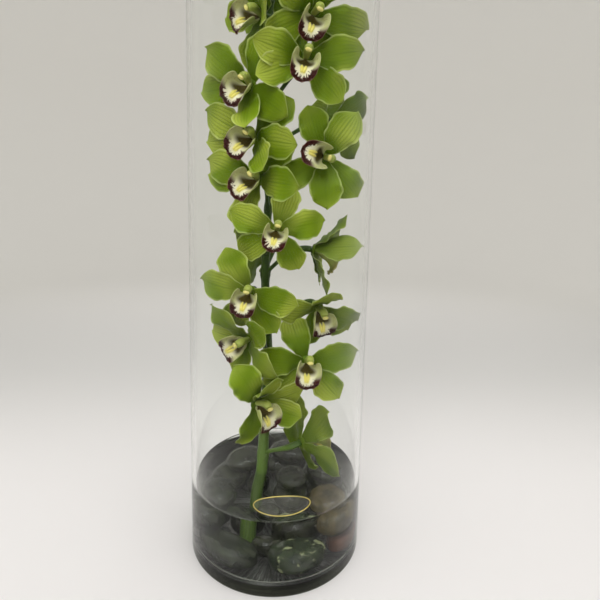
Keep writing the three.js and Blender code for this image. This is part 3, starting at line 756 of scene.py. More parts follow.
# %% Tepals and blooms
TEPALS = [
    # angle, length, width, lift, curl, cup, layer, pointed
    (90, 38, 23.5, 33, -42, 0.16, -0.8, 1.4),
    (20, 39, 25, 38, -52, 0.1, 0.7, 1.32),
    (160, 39, 25, 38, -52, 0.1, 0.7, 1.32),
    (-52, 38, 23.5, 31, -44, 0.16, -0.8, 1.42),
    (232, 38, 23.5, 31, -44, 0.16, -0.8, 1.42),
]
NONE = [0, 0, 0, 0, 0]
BLOOMS = [
    # lip's middle, way it faces, its tilt up, turn, size, swing, fold
    ((-27, -25, 438), -50, -5, 60, 1, [0, 25, 0, 0, 0], NONE),
    ((19.5, -47, 430.5), 6, -20, 22, 1, [0, 0, 0, 16, 0], [0, 0, 0, 25, -5]),
    ((15, -47, 402), 0, -8, 14, 1, [38, 0, 22, 18, -6], [48, 0, 0, 0, 0]),
    ((-32, -32, 385.5), -26, -5, 34, 1.04, [0, 14, 12, 0, -14], [10, 0, 0, -15, 0]),
    ((-29, -33, 347.4), -26, -5, 38, 1.04, [0, 14, 0, 16, -8], [25, 0, 0, -45, 0]),
    ((26, -35, 341.5), -8, 0, 105, 1, [0, 0, -8, 8, -18], NONE),
    ((-26, -34, 316.7), -26, 0, 38, 1.04, [0, 18, 0, 12, -18], [30, 0, 0, -30, 0]),
    ((-4, -48, 279), 0, 0, 14, 0.92, [0, 5, -5, 5, -12], [30, 26, 36, 28, 40]),
    ((37, -12, 257), 90, -12, 0, 1, [0, 0, -20, 0, 20], [-30, -30, -70, -20, -30]),
    ((-25.5, -46, 229), -8, -5, 14, 0.97, [40, -18, 40, 0, 24], [10, 10, 30, 5, 25]),
    ((-34, -32, 189), -45, -10, 55, 1, NONE, NONE),
    ((34, -27, 208.5), 18, -28, -5, 1, [0, -30, 10, 10, 0], [-30, 0, 0, 0, 0]),
    ((22.5, -42, 171), 4, 0, 10, 1, [0, 0, 24, 12, 0], [42, 0, 10, 0, 10]),
    ((-10, -50, 139), 40, -12, -5, 1, [8, 0, 0, 26, 24], [0, 0, 15, -36, 20]),
    ((33, -16, 96), 125, 5, 34, 1.05, NONE, NONE),
    ((-24, 28, 258), -110, -5, 0, 1, NONE, NONE),
    ((50, 26, 366), 130, 0, 0, 1, NONE, NONE),
    ((-20, -40, 480), -20, 0, 20, 0.97, NONE, NONE),
    ((32, -22, 494), 40, 0, 0, 0.95, NONE, NONE),
    ((-8, 42, 470), 170, 0, 0, 0.97, NONE, NONE),
]
LIP_FROM_CENTRE = np.array((0, -6, 11))
BLADE_START = 3.1
EDGE_WAVE = 0.1


class Tepal:
    """One sepal or petal and how far it stands off its usual place."""

    def __init__(self, row, swing, fold):
        self.angle, self.length, self.width, self.lift, self.curl, self.cup, self.layer, self.pointed = row
        self.swing, self.fold = swing, fold
        self.side, self.back = swing, fold


class Bloom:
    """A bloom's place: its centre, its three directions, and its tepals."""

    def __init__(self, lip, faces, up, turn, size, swing, fold):
        faces, up, turn = (math.radians(angle) for angle in (faces, up, turn))
        self.size = size
        flat = math.cos(up)
        self.front = np.array((math.sin(faces) * flat, -math.cos(faces) * flat, math.sin(up)))
        right = np.array((math.cos(faces), math.sin(faces), 0))
        above = np.cross(self.front, right)
        across = right * math.cos(turn) - above * math.sin(turn)
        upward = right * math.sin(turn) + above * math.cos(turn)
        self.axes = np.array((across, upward, self.front))
        self.centre = np.array(lip) - LIP_FROM_CENTRE * size @ self.axes
        self.tepals = [Tepal(*row) for row in zip(TEPALS, swing, fold)]

    def placed(self, points):
        """Points of the bloom's own frame, where they lie on the spike."""
        return points @ self.axes + self.centre


blooms = [Bloom(*row) for row in BLOOMS]
print("blooms:", len(blooms))

# %% [markdown]
# A tepal's middle surface is a formula of two numbers: s runs from its base to its tip, and u from edge
# to edge. Along s the blade follows a circular arc, which is what lift and curl describe. Across u it
# cups, and its edge waves.

# %% The tepal's formula
BASE_SHARE = 0.03
WIDTH_RUN = 0.93
ROUNDNESS = 0.62
FOLD_IN_LIFT = 0.4
WAVE_PACE = 7.5


def tepal_width(s, pointed):
    """Half the width at s, as a share of the widest."""
    return np.sin(math.pi * (BASE_SHARE + WIDTH_RUN * s ** pointed)) ** ROUNDNESS


def tepal_points(tepal, size, s, u, finer=(1, 0)):
    """Points of the middle surface in the bloom's own frame. finer gives shares of the width and a rise."""
    lift = math.radians(tepal.lift - FOLD_IN_LIFT * tepal.back)
    curl = math.radians(tepal.curl - (1 - FOLD_IN_LIFT) * tepal.back)
    narrow, extra = finer
    tangent = lift + curl * s
    out = BLADE_START + tepal.length * (np.sin(tangent) - math.sin(lift)) / curl
    front = tepal.layer - tepal.length * (np.cos(tangent) - math.cos(lift)) / curl
    half = tepal.width / 2 * tepal_width(s, tepal.pointed) * narrow
    wave = EDGE_WAVE * np.sin(WAVE_PACE * s + tepal.angle) * u * np.abs(u)
    rise = half * s ** 0.5 * (tepal.cup * u * u + wave) + extra
    turn = math.radians(tepal.angle + tepal.side)
    radial = (out - rise * np.sin(tangent)) * size
    across = half * u * size
    return np.stack([
        radial * math.cos(turn) - across * math.sin(turn),
        radial * math.sin(turn) + across * math.cos(turn),
        (front + rise * np.cos(tangent)) * size,
    ], axis=-1)


print("share of a petal's full width, halfway along it:", round(float(tepal_width(0.5, 1.32)), 2))

# %% [markdown]
# The flower stalk leaves the stem under the bloom, arches out, and runs straight for a way behind the
# bloom, where it holds the ovary. A Bezier curve with four handles draws it.

# %% The stalk's line
STALK_DROP = 24
STALK_STRAIGHT = 17
STALK_END = -1.7
SHOULDER_OUT = 10
SHOULDER_UP = 9


def stalk_points(bloom, steps):
    end = bloom.centre + bloom.front * STALK_END
    foot = spike_at(bloom.centre[2] - STALK_DROP)
    outward = (end - foot) * (1, 1, 0)
    shoulder = foot + outward / np.linalg.norm(outward) * SHOULDER_OUT + (0, 0, SHOULDER_UP)
    behind = end - bloom.front * STALK_STRAIGHT
    t = np.linspace(0, 1, steps + 1)[:, None]
    return ((1 - t) ** 3 * foot + 3 * (1 - t) ** 2 * t * shoulder
            + 3 * (1 - t) * t ** 2 * behind + t ** 3 * end)


steps = np.diff(stalk_points(blooms[0], 20), axis=0)
print(f"the first bloom's stalk is {np.linalg.norm(steps, axis=1).sum():.0f} mm long")

# %% [markdown]
# ## Opening the spike
#
# On a real spike the tepals push each other aside. The same is done here: a tepal that would touch a
# neighbour, a stalk or the glass swings and leans, in smaller and smaller steps, until it is clear. A net
# of points stands for each tepal, and round spots stand for lips, stalks and the stem.

# %% What a tepal keeps clear of
SPOT_ROWS = [0.32, 0.5, 0.66, 0.82, 0.97]
SPOT_COLUMNS = [-0.95, -0.48, 0, 0.48, 0.95]
NET_S, NET_U = (net.ravel() for net in np.meshgrid(SPOT_ROWS, SPOT_COLUMNS, indexing="ij"))
NET_MIDDLE = 12
CLEAR = 5.6
REACH = 52
GLASS_CLEAR = INNER_RADIUS - 1.6
WATER_CLEAR = WATER_LEVEL + 2
LEAN_STEPS = [18, 12, 9, 9, 6, 6, 4, 4, 3, 3, 2, 2, 1, 1]
LEAN_WAYS = [(1, 0), (-1, 0), (0, 1), (0, -1), (1, 1), (1, -1), (-1, 1), (-1, -1)]
STIFF = 0.012
HARD = 9
MOST_SWING = 45
MOST_FOLD = 80
LEAST_FOLD = -50
LIP_SPOTS = [((0, -1, 11), 13.5), ((0, -9, 15), 11.5)]
STALK_STEPS = 4
STALK_ROOM = 5
STEM_ROOM = 3.5
STEM_HEIGHTS = range(60, 520, 6)


def fixed_spots():
    """Points of the lips, stalks and stem, the room each needs, and the bloom each belongs to."""
    rows = []
    for number, bloom in enumerate(blooms):
        for at, room in LIP_SPOTS:
            rows.append((bloom.placed(np.array(at) * bloom.size), room, number))
        for point in stalk_points(bloom, STALK_STEPS):
            rows.append((point, STALK_ROOM, number))
    for height in STEM_HEIGHTS:
        rows.append((spike_at(height), spike_radius(height) + STEM_ROOM, -1))
    return tuple(np.array(column) for column in zip(*rows))


def net(bloom, tepal):
    return bloom.placed(tepal_points(tepal, bloom.size, NET_S, NET_U))


def crowding(tepal, spots, places, needs):
    """How badly a tepal crowds what stands near it."""
    bent = STIFF * ((tepal.side - tepal.swing) ** 2 + (tepal.back - tepal.fold) ** 2)
    into_glass = np.maximum(0, np.hypot(spots[:, 0], spots[:, 1]) - GLASS_CLEAR)
    into_water = np.maximum(0, WATER_CLEAR - spots[:, 2])
    apart = np.linalg.norm(spots[:, None] - places[None], axis=2)
    short = np.maximum(0, needs - apart)
    return bent + HARD * (into_glass ** 2).sum() + HARD * (into_water ** 2).sum() + (short ** 2).sum()


print("round spots to keep clear of:", len(fixed_spots()[0]))

# %% [markdown]
# A simulation of soft petals could do this too, but it gives another result with each small change. A
# plain search is steady: each tepal in turn tries eight ways to move, keeps the one that crowds it least,
# and the steps shrink from round to round.

# %% Let the tepals swing and lean
def near_places(number, tepal, fixed):
    """What lies within reach of a tepal and belongs to other blooms."""
    middle = tepal.spots[NET_MIDDLE]
    nets = [other.spots for n, bloom in enumerate(blooms) if n != number for other in bloom.tepals
            if np.linalg.norm(middle - other.spots[NET_MIDDLE]) < REACH]
    places, needs, owners = fixed
    close = (owners != number) & (np.linalg.norm(places - middle, axis=1) < REACH)
    count = len(nets) * len(NET_S)
    return np.concatenate([*nets, places[close]]), np.concatenate([np.full(count, CLEAR), needs[close]])


def lean(number, tepal, fixed, step):
    bloom = blooms[number]
    places, needs = near_places(number, tepal, fixed)
    start = (tepal.side, tepal.back)
    best = crowding(tepal, tepal.spots, places, needs)
    kept = (start, tepal.spots)
    for across, along in LEAN_WAYS:
        tepal.side, tepal.back = start[0] + across * step, start[1] + along * step
        if abs(tepal.side) > MOST_SWING or not LEAST_FOLD <= tepal.back <= MOST_FOLD:
            continue
        spots = net(bloom, tepal)
        value = crowding(tepal, spots, places, needs)
        if value < best:
            best = value
            kept = ((tepal.side, tepal.back), spots)
    (tepal.side, tepal.back), tepal.spots = kept


def open_spike():
    for bloom in blooms:
        for tepal in bloom.tepals:
            tepal.spots = net(bloom, tepal)
    fixed = fixed_spots()
    for step in LEAN_STEPS:
        for number, bloom in enumerate(blooms):
            for tepal in bloom.tepals:
                lean(number, tepal, fixed, step)


open_spike()
moved = [abs(t.side - t.swing) + abs(t.back - t.fold) > 0 for b in blooms for t in b.tepals]
print("tepals that moved aside:", sum(moved), "of", len(moved))

# %% [markdown]
# ## Meshes for sheets and stems
#
# A petal is a thin sheet and a stem is a tube. Both are made from a grid of corners: the sheet's grid is
# thickened to both faces along its normals, and the tube's grid is a ring of corners at each step of its
# line.

# %% Sheets
def sheet(middle, thickness, s, u, finish=0):
    """Closes a grid of points into a thin solid. Its marks are s, u and the face: 1 in front, -1 behind."""
    rows, across = middle.shape[:2]
    along = np.gradient(middle, axis=0)
    side = np.gradient(middle, axis=1)
    normal = np.cross(along, side)
    normal /= np.linalg.norm(normal, axis=2, keepdims=True) + 1e-9
    lift = normal * thickness[..., None] / 2
    corners = np.concatenate([(middle + lift).reshape(-1, 3), (middle - lift).reshape(-1, 3)])
    marks = [np.stack([s, u, np.full_like(s, face)], axis=-1).reshape(-1, 3) for face in (1, -1)]
    count = rows * across
    faces = []
    for i in range(rows - 1):
        for j in range(across - 1):
            a = i * across + j
            loop = [a, a + across, a + across + 1, a + 1]
            faces.append(loop)
            faces.append([count + c for c in reversed(loop)])
    rim = [i * across for i in range(rows)]
    rim += [(rows - 1) * across + j for j in range(1, across)]
    rim += [i * across + across - 1 for i in range(rows - 2, -1, -1)]
    rim += list(range(across - 2, 0, -1))
    for a, b in zip(rim, rim[1:] + rim[:1]):
        faces.append([a, count + a, count + b, b])
    return corners, faces, finish, np.concatenate(marks)


test_s, test_u = np.meshgrid([0.0, 1], [-1.0, 1], indexing="ij")
test_sheet = sheet(np.dstack([test_s, test_u, 0 * test_s]), np.ones((2, 2)), test_s, test_u)
print("a sheet of one square has", len(test_sheet[1]), "faces")

# %% [markdown]
# A tube could be a curve with a bevel, but then its mesh couldn't carry marks or ribs. Here each ring is
# turned from the one before as little as can be, which keeps the ribs from twisting.

# %% Tubes
def tube(points, radii, sides, ribs=None, finish=0):
    """A closed tube along points. ribs gives a share to add to the radius round each ring. Its marks are
    the share along, the share around, and the radius."""
    points = np.asarray(points, float)
    tangents = np.gradient(points, axis=0)
    tangents /= np.linalg.norm(tangents, axis=1, keepdims=True)
    turns = np.linspace(0, 2 * math.pi, sides, endpoint=False)
    side = np.array((1.0, 0, 0)) if abs(tangents[0][0]) < 0.9 else np.array((0, 1.0, 0))
    corners, marks = [], []
    last = len(points) - 1
    for i, (point, tangent, radius) in enumerate(zip(points, tangents, radii)):
        side = side - tangent * (side @ tangent)
        side /= np.linalg.norm(side)
        across = np.cross(tangent, side)
        wide = radius * (1 + (ribs(i / last, turns) if ribs else 0 * turns))
        ring = point + wide[:, None] * (np.cos(turns)[:, None] * side + np.sin(turns)[:, None] * across)
        corners.append(ring)
        marks.append(np.array([(i / last, turn / (2 * math.pi), radius) for turn in turns]))
    corners += [points[:1], points[-1:]]
    marks += [np.array([[0, 0, radii[0]]]), np.array([[1, 0, radii[-1]]])]
    count = len(points) * sides
    rings = [list(range(first, first + sides)) for first in range(0, count, sides)]
    faces = strips([[count] * sides, *rings, [count + 1] * sides])
    return np.concatenate(corners), faces, finish, np.concatenate(marks)


def smooth_run(rows, steps):
    """Rows of numbers on a smooth curve through all the given ones, with each span cut into steps."""
    rows = np.asarray(rows, float)
    ends = np.vstack([2 * rows[0] - rows[1], rows, 2 * rows[-1] - rows[-2]])
    run = []
    for i in range(len(rows) - 1):
        p0, p1, p2, p3 = ends[i:i + 4]
        for t in np.linspace(0, 1, steps, endpoint=False):
            bend = (2 * p0 - 5 * p1 + 4 * p2 - p3) * t ** 2 + (3 * p1 - p0 - 3 * p2 + p3) * t ** 3
            run.append(p1 + 0.5 * ((p2 - p0) * t + bend))
    run.append(rows[-1])
    return np.array(run)


print("a test tube has", len(tube([(0, 0, 0), (0, 0, 1)], [1, 1], 8)[1]), "faces")

# %% [markdown]
# ## Stem, stalks and buds
#
# The stem is a faintly ribbed tube that swells where each flower stalk leaves it, over a small papery
# bract. Each stalk widens behind its bloom into the ovary, which has three blunt ridges with a slow
# twist. The tip carries closed buds, whose sepals meet in three seams. The stem is paler over its lowest
# part, just above the water, and darker under the water line.

# %% The green of stem and stalks
STEM_DARK, STEM_LIGHT, PALE_LOW_STEM, DARK_UNDER_WATER, RIB = colours(
    (36, 60, 6), (66, 98, 18), (104, 132, 58), (62, 84, 26), (120, 150, 44))
RIBS = 14


def below(finish, low, high):
    """A mask that is 1 under a height, counted in millimetres from the water's surface, and 0 above it."""
    return 1 - finish.smooth(finish.height(), (WATER_LEVEL + low) * MM, (WATER_LEVEL + high) * MM)


def stem_finish():
    finish = Finish("green_stem")
    _, around, _ = finish.marks()
    ribs = ((around * 2 * math.pi * RIBS).sine() + 1) * 0.5
    shade = finish.coats(
        finish.mix(finish.grain(14, 3), STEM_DARK, STEM_LIGHT),
        # paler over the lowest part of the stem above the water, and darker under the water line
        (below(finish, 32, 40), 0.75, PALE_LOW_STEM),
        (below(finish, -3, 1), 0.8, DARK_UNDER_WATER),
        (ribs, 0.18, RIB),
    )
    bump = finish.relief(ribs * 0.7 + finish.grain(0.8, 3) * 0.3, 0.16, 0.6)
    depth = {"Subsurface Weight": 0.1, "Subsurface Radius": (0.6, 1, 0.2), "Subsurface Scale": 0.002}
    return finish.show(finish.skin(shade, 0.42, 0.4, bump, depth))


green_stem = stem_finish()
print("nodes in the stem's finish:", len(green_stem.node_tree.nodes))

# %% [markdown]
# The stem and its stalks are one plant, so they are gathered into one piece. Where two tubes meet they
# simply run into each other, and the swelling of the stem hides the seam, as it does in life. A bract is
# a leaf scale: a small sheet bent round the stem.

# %% Stem and stalks
STEM_SIDES = 28
STEM_RINGS = 170
STALK_SIDES = 14
STALK_RINGS = 26
STALK_RADII = [1.8, 1.7, 1.7, 2.1, 2.7, 2.6]
SWELL = 0.55
SWELL_REACH = 4
OVARY_RIDGE = 0.07
OVARY_TWIST = 2
BRACT_LENGTH = 8
BRACT_BELOW = 2
BRACT_LEAN = 1.6
BRACT_WRAP = 1.1
BRACT_THICKNESS = 0.4
UPRIGHT = np.array((0, 0, 1))


def stem_tube(piece):
    heights = np.linspace(SPIKE[0][2], SPIKE[-1][2], STEM_RINGS)
    feet = [bloom.centre[2] - STALK_DROP for bloom in blooms]
    swell = sum(SWELL * np.exp(-((heights - foot) / SWELL_REACH) ** 2) for foot in feet)
    radii = np.array([spike_radius(h) for h in heights]) + swell
    piece.add(*tube([spike_at(h) for h in heights], radii, STEM_SIDES))


def ovary_ridges(share, turns):
    return OVARY_RIDGE * np.clip((share - 0.5) * 3, 0, 1) * np.cos(3 * (turns + share * OVARY_TWIST))


def stalk_tube(piece, bloom):
    points = stalk_points(bloom, STALK_RINGS)
    shares = np.linspace(0, len(STALK_RADII) - 1, STALK_RINGS + 1)
    radii = np.interp(shares, range(len(STALK_RADII)), STALK_RADII)
    piece.add(*tube(points, radii, STALK_SIDES, ovary_ridges))


def bract(piece, bloom):
    """A small pointed scale under the foot of a stalk, pressed to the stem."""
    foot = spike_at(bloom.centre[2] - STALK_DROP - BRACT_BELOW)
    outward = (bloom.centre - foot) * (1, 1, 0)
    outward /= np.linalg.norm(outward)
    beside = np.cross(UPRIGHT, outward)
    s, u = np.meshgrid(np.linspace(0, 1, 9), np.linspace(-1, 1, 7), indexing="ij")
    radius = spike_radius(foot[2]) + 0.5 + BRACT_LEAN * s ** 2
    turn = u * BRACT_WRAP * (1 - s) ** 0.6
    steps = (radius * np.cos(turn), radius * np.sin(turn), s * BRACT_LENGTH - 1)
    middle = foot + sum(step[..., None] * way for step, way in zip(steps, (outward, beside, UPRIGHT)))
    piece.add(*sheet(middle, np.full_like(s, BRACT_THICKNESS), s, u))


spike = Piece([green_stem])
stem_tube(spike)
for bloom in blooms:
    stalk_tube(spike, bloom)
    bract(spike, bloom)
print("corners of stem, stalks and bracts:", spike.count)

# %% [markdown]
# A closed bud is a spindle on a short stalk. It is a tube whose radius follows a profile, and its three
# seams are narrow dents in each ring, deepest towards the tip.

# %% Buds
BUDS = [
    # height of the foot, way it leans, lean, length, radius
    (496, -150, 34, 27, 6),
    (505, 10, 40, 24, 5.4),
    (511, 120, 12, 21, 4.6),
]
BUD_STALK = 15
BUD_STALK_RADIUS = 1.5
BUD_PROFILE = [(0, 0.25), (0.12, 0.55), (0.3, 0.8), (0.5, 1), (0.75, 0.86), (0.92, 0.5), (1, 0.1)]
SEAM_DEPTH = 0.08
SEAM_WIDTH = 0.16
BUD_SIDES = 24
THIRD = 2 * math.pi / 3


def bud_seams(share, turns):
    from_seam = (turns % THIRD - THIRD / 2) / SEAM_WIDTH
    return -SEAM_DEPTH * np.exp(-from_seam ** 2) * np.clip(share * 2 - 0.8, 0, 1)


def bud(piece, height, towards, leaning, length, radius):
    foot = spike_at(height)
    towards, leaning = math.radians(towards), math.radians(leaning)
    flat = math.sin(leaning)
    way = np.array((math.cos(towards) * flat, math.sin(towards) * flat, math.cos(leaning)))
    rows = [(0, BUD_STALK_RADIUS)]
    rows += [(BUD_STALK + along * length, wide * radius) for along, wide in BUD_PROFILE]
    run = smooth_run(rows, 5)
    points = [foot + way * along for along, _ in run]
    piece.add(*tube(points, np.maximum(run[:, 1], 0.1), BUD_SIDES, bud_seams))


for row in BUDS:
    bud(spike, *row)
spike = spike.make("flower_spike", "green_stem", "spike")
print("spike faces:", len(spike.data.polygons))

# %% [markdown]
# ## The tepals
#
# The finer tepal follows the same formula on a close grid. It adds what the plain solid leaves out: a
# shallow groove along the middle, a scalloped and rippled edge, a tip that closes in a round or blunt
# point, and a blade that thins towards its edge. A number of its own, its phase, makes each tepal a
# little different.

# %% The tepals' shape
TEPAL_ROWS = 27
TEPAL_COLUMNS = 15
MIDDLE_THICKNESS = 0.95
EDGE_THICKNESS = 0.4
TIP_FROM = 0.78
MOST_TWIST = 1.5
SCALLOP = 0.045
RIPPLE = 1.4
GROOVE_DEPTH = 0.42
GROOVE_WIDTH = 0.13
PINCH = 0.9
RECEPTACLE = 5.2
SHARES = np.linspace(0, 1, TEPAL_ROWS)
FINE_S, FINE_U = np.meshgrid(
    SHARES * (1.5 - 0.5 * SHARES), np.sin(np.linspace(-1, 1, TEPAL_COLUMNS) * math.pi / 2), indexing="ij")


def tepal_sheet(bloom, tepal, phase):
    s, u = FINE_S, FINE_U
    side, off_middle = np.sign(u), np.abs(u)
    closing = np.clip((s - TIP_FROM) / (1 - TIP_FROM), 0, 1)
    narrow = (1 - 0.999 * closing ** 2.1) ** (0.62 + 0.2 * math.sin(phase * 5.1))
    scallops = np.sin(15 * s + 2.2 * phase + 2 * side) + 0.6 * np.sin(31 * s - phase)
    narrow *= 1 + SCALLOP * scallops * off_middle
    waves = np.sin(12 * s + phase + 1.5 * side) + 0.55 * np.sin(25 * s + 2.6 * phase - 1.1 * side)
    ripple = RIPPLE * off_middle ** 2.6 * waves * np.sin(math.pi * s ** 0.8)
    twist = MOST_TWIST * math.sin(phase * 3.7) * u * s
    groove = -GROOVE_DEPTH * np.exp(-(u / GROOVE_WIDTH) ** 2) * np.sin(math.pi * s ** 0.7)
    rise = ripple + twist + groove + PINCH * closing ** 2
    middle = bloom.placed(tepal_points(tepal, bloom.size, s, u, (narrow, rise)))
    thickness = (EDGE_THICKNESS + (MIDDLE_THICKNESS - EDGE_THICKNESS) * (1 - u ** 2)) * (1 - 0.4 * s)
    return sheet(middle, thickness, s, u)


def receptacle(bloom):
    """The small rounded base from which the tepals spring."""
    slopes = np.radians(range(-75, 76, 15))
    profile = [(0, -1.6), *((RECEPTACLE * math.cos(a), 1.5 * math.sin(a)) for a in slopes), (0, 1.6)]
    corners, faces = turned(profile, 24)
    marks = np.zeros_like(corners)
    marks[:, 2] = 1
    return bloom.placed(corners * bloom.size), faces, 0, marks


print("rows and columns of a tepal's grid:", FINE_S.shape)

# %% [markdown]
# A fresh tepal is yellow-green and waxy, with faint lengthwise veins. Light and shade are painted into its
# colour too: painted shade makes it deeper green towards its base, where the lip shades it, and darker on
# its back face, which is also duller in its own colour; painted light makes it paler towards its tip,
# along its thin edge and in broad sunlit patches. It lets light through, so it glows where the light comes
# from behind. A Translucent shader is mixed in for that. It has one plain colour, because the pattern is
# seen on the skin.

# %% The tepals' finish
# painted light and shade among these: the sunlit patches, the green at the base, the tip, the pale edge and
# part of the underside
TEPAL_DARK, TEPAL_LIGHT, SUNLIT, FINE_GREEN, BASE_SHADE_GREEN = colours(
    (90, 124, 2), (150, 174, 28), (198, 209, 84), (110, 138, 8), (62, 90, 1))
TIP_HIGHLIGHT_GREEN, EDGE_GLOW_AND_HIGHLIGHT, VEIN, MIDDLE_LINE, UNDERSIDE_AND_SHADE = colours(
    (194, 210, 80), (222, 232, 150), (88, 120, 14), (92, 124, 18), (84, 110, 26))
TEPAL_GLOW = colour(127, 148, 45)
VEINS = 30


def tepal_finish():
    finish = Finish("green_tepal")
    s, u, side = finish.marks()
    edge = finish.smooth(abs(u), 0.84, 1)
    fine = finish.grain(2.4, 3)
    veins = ((u * VEINS + finish.grain(7, 1) * 2.2).sine() * 0.5 + 0.5) ** 3
    veins = veins * (1 - edge) * finish.smooth(s, 0.02, 0.2)
    shade = finish.coats(
        finish.mix(finish.grain(16, 3), TEPAL_DARK, TEPAL_LIGHT),
        # painted light: broad sunlit patches
        (finish.smooth(finish.grain(45, 1), 0.44, 0.6), 0.78, SUNLIT),
        (fine, 0.35, FINE_GREEN),
        # painted shade: deeper green towards the base
        (1 - finish.smooth(s, 0.1, 0.6), 0.68, BASE_SHADE_GREEN),
        # painted highlight towards the tip, and painted glow and highlight along the thin edge
        (finish.smooth(s, 0.72, 1), 0.4, TIP_HIGHLIGHT_GREEN),
        (edge, 0.5, EDGE_GLOW_AND_HIGHLIGHT),
        (veins, 0.42, VEIN),
        (1 - finish.smooth(abs(u), 0.0, 0.09), 0.4, MIDDLE_LINE),
        # the back face: its own duller colour with painted shade
        (finish.smooth(side * -1, 0, 1), 0.5, UNDERSIDE_AND_SHADE),
    )
    bump = finish.relief(veins * 0.6 + fine * 0.25 + finish.grain(0.5, 1) * 0.15, 0.16, 0.6)
    return finish.show(finish.leaf(shade, 0.42, 0.13, bump, 0.18, TEPAL_GLOW))


green_tepal = tepal_finish()


def tepal_piece(number, bloom):
    piece = Piece([green_tepal])
    for n, tepal in enumerate(bloom.tepals):
        piece.add(*tepal_sheet(bloom, tepal, number * 1.7 + n * 2.3))
    piece.add(*receptacle(bloom))
    return piece.make(f"bloom_tepals_{number:02d}", "green_tepal", f"tepals_{number:02d}")


made = [tepal_piece(number, bloom) for number, bloom in enumerate(blooms, 1)]
print("faces of one bloom's tepals:", len(made[0].data.polygons))

# %% [markdown]
# ## The lip
#
# The lip is the sixth, odd petal. It rises from a narrow claw into two side lobes that stand round the
# column, and ends in a front lobe that curls down, with a frilled edge. Each row of its grid is an arc: a
# wide bend folds the side lobes up, and a small one leaves the front lobe nearly flat. Two fleshy yellow
# ridges run down its middle.

# %% The lip's shape
LIP_ROWS = [
    # down, front, half width, bend
    (1.2, 2.6, 2.4, 20),
    (2.9, 5.2, 7, 74),
    (4.4, 7.6, 11.4, 108),
    (5.4, 10.2, 15, 116),
    (6.2, 12.6, 17, 112),
    (7.4, 14.8, 15.2, 92),
    (8.9, 16.3, 11.7, 62),
    (10.6, 17.2, 10, 38),
    (12.5, 17.7, 8.5, 20),
    (14.3, 17.6, 6.7, 6),
    (15.8, 17.2, 4.4, -8),
    (16.8, 16.6, 1.2, -14),
]
LIP_STEPS = 4
LIP_COLUMNS = 29
LIP_RUN = smooth_run(LIP_ROWS, LIP_STEPS)
LIP_END = len(LIP_ROWS) - 1
FRONT_LOBE = 6
LIP_THICKNESS = 0.7


def lip_grid(t, u):
    """Points of the lip's middle surface in the bloom's own frame, for rows t, counted as in the list, and
    columns u from edge to edge."""
    steps = np.linspace(0, LIP_END, len(LIP_RUN))
    down, front, half, bend = (np.interp(t, steps, LIP_RUN[:, k]) for k in range(4))
    slope_down, slope_front = (np.interp(t, steps, np.gradient(LIP_RUN[:, k])) for k in range(2))
    length = np.hypot(slope_down, slope_front)
    bend = np.radians(bend)
    bend = np.where(np.abs(bend) < 1e-3, 1e-3, bend)
    rise = half * (1 - np.cos(bend * u)) / bend
    beyond = np.clip((t - FRONT_LOBE) / 2, 0, 1)
    frill = np.sin(3.4 * t + 2.5 * u) * np.abs(u) ** 3 + 0.6 * np.sin(11 * u) * np.clip((t - 9) / 2, 0, 1)
    rise = rise + 0.7 * frill * beyond
    return np.stack([
        half * np.sin(bend * u) / bend,
        -down + rise * slope_front / length,
        front + rise * slope_down / length,
    ], axis=-1)


def lip_sheet(bloom):
    rows, columns = np.linspace(0, LIP_END, len(LIP_RUN)), np.linspace(-1, 1, LIP_COLUMNS)
    t, u = np.meshgrid(rows, columns, indexing="ij")
    middle = bloom.placed(lip_grid(t, u) * bloom.size)
    return sheet(middle, LIP_THICKNESS * (1 - 0.45 * u ** 2), t / LIP_END, u)


tip = lip_grid(np.array([[LIP_END]]), np.zeros((1, 1)))[0, 0]
print(f"the lip's tip hangs {-tip[1]:.1f} mm below the centre")

# %% [markdown]
# The two ridges follow the lip's own surface, a little to each side of its middle, so the lip's formula
# gives their lines. Each is a short tube that swells towards the front.

# %% The ridges on the lip
RIDGE_FROM = 3.6
RIDGE_TO = 7.2
RIDGE_OFF_MIDDLE = 0.085
RIDGE_RADIUS = 1.25
RIDGE_RINGS = 16


def placed_tube(bloom, line, radii, sides, ribs=None, finish=0):
    corners, *rest = tube(line * bloom.size, radii * bloom.size, sides, ribs, finish)
    return bloom.placed(corners), *rest


def ridge(bloom, side):
    t = np.linspace(RIDGE_FROM, RIDGE_TO, RIDGE_RINGS)[:, None]
    line = lip_grid(np.repeat(t, 2, axis=1), side * RIDGE_OFF_MIDDLE * np.ones((RIDGE_RINGS, 2)))[:, 0]
    line = line + (0, 0.1, 0.1)
    share = np.linspace(0, 1, RIDGE_RINGS)
    ends = 0.35 + 0.65 * np.sin(math.pi * np.clip(share, 0.02, 0.98)) ** 0.5
    radii = RIDGE_RADIUS * ends * (0.75 + 0.35 * share)
    return placed_tube(bloom, line, radii, 12, finish=1)


print("corners of one ridge:", len(ridge(blooms[0], 1)[0]))

# %% [markdown]
# Over the lip arches the column, which carries the pollen under a small blunt cap. It is a tube with a
# flattened underside, and the cap is a ball with a groove.

# %% The column and its cap
COLUMN = [
    # above, front, radius
    (0.8, 1.85, 2.3),
    (4, 7.6, 2.7),
    (6.3, 12.6, 3.2),
    (5.6, 16.4, 2.9),
]
CAP_AT = (0, 4.9, 17.7)
CAP_HALF = (2.5, 1.5, 1.5)
CAP_BALL, CAP_FACES = fine_ball(3)


def flat_underside(share, turns):
    return -0.16 * np.clip(-np.sin(turns), 0, 1) ** 2


def column_tube(bloom):
    run = smooth_run([(0, above, front, radius) for above, front, radius in COLUMN], 7)
    return placed_tube(bloom, run[:, :3], run[:, 3], 20, flat_underside, finish=2)


def cap(bloom):
    groove = 1 - 0.14 * np.exp(-(CAP_BALL[:, :1] / 0.16) ** 2)
    corners = CAP_BALL * groove * CAP_HALF + CAP_AT
    return bloom.placed(corners * bloom.size), CAP_FACES, 3, CAP_BALL


print("faces of a cap:", len(CAP_FACES))
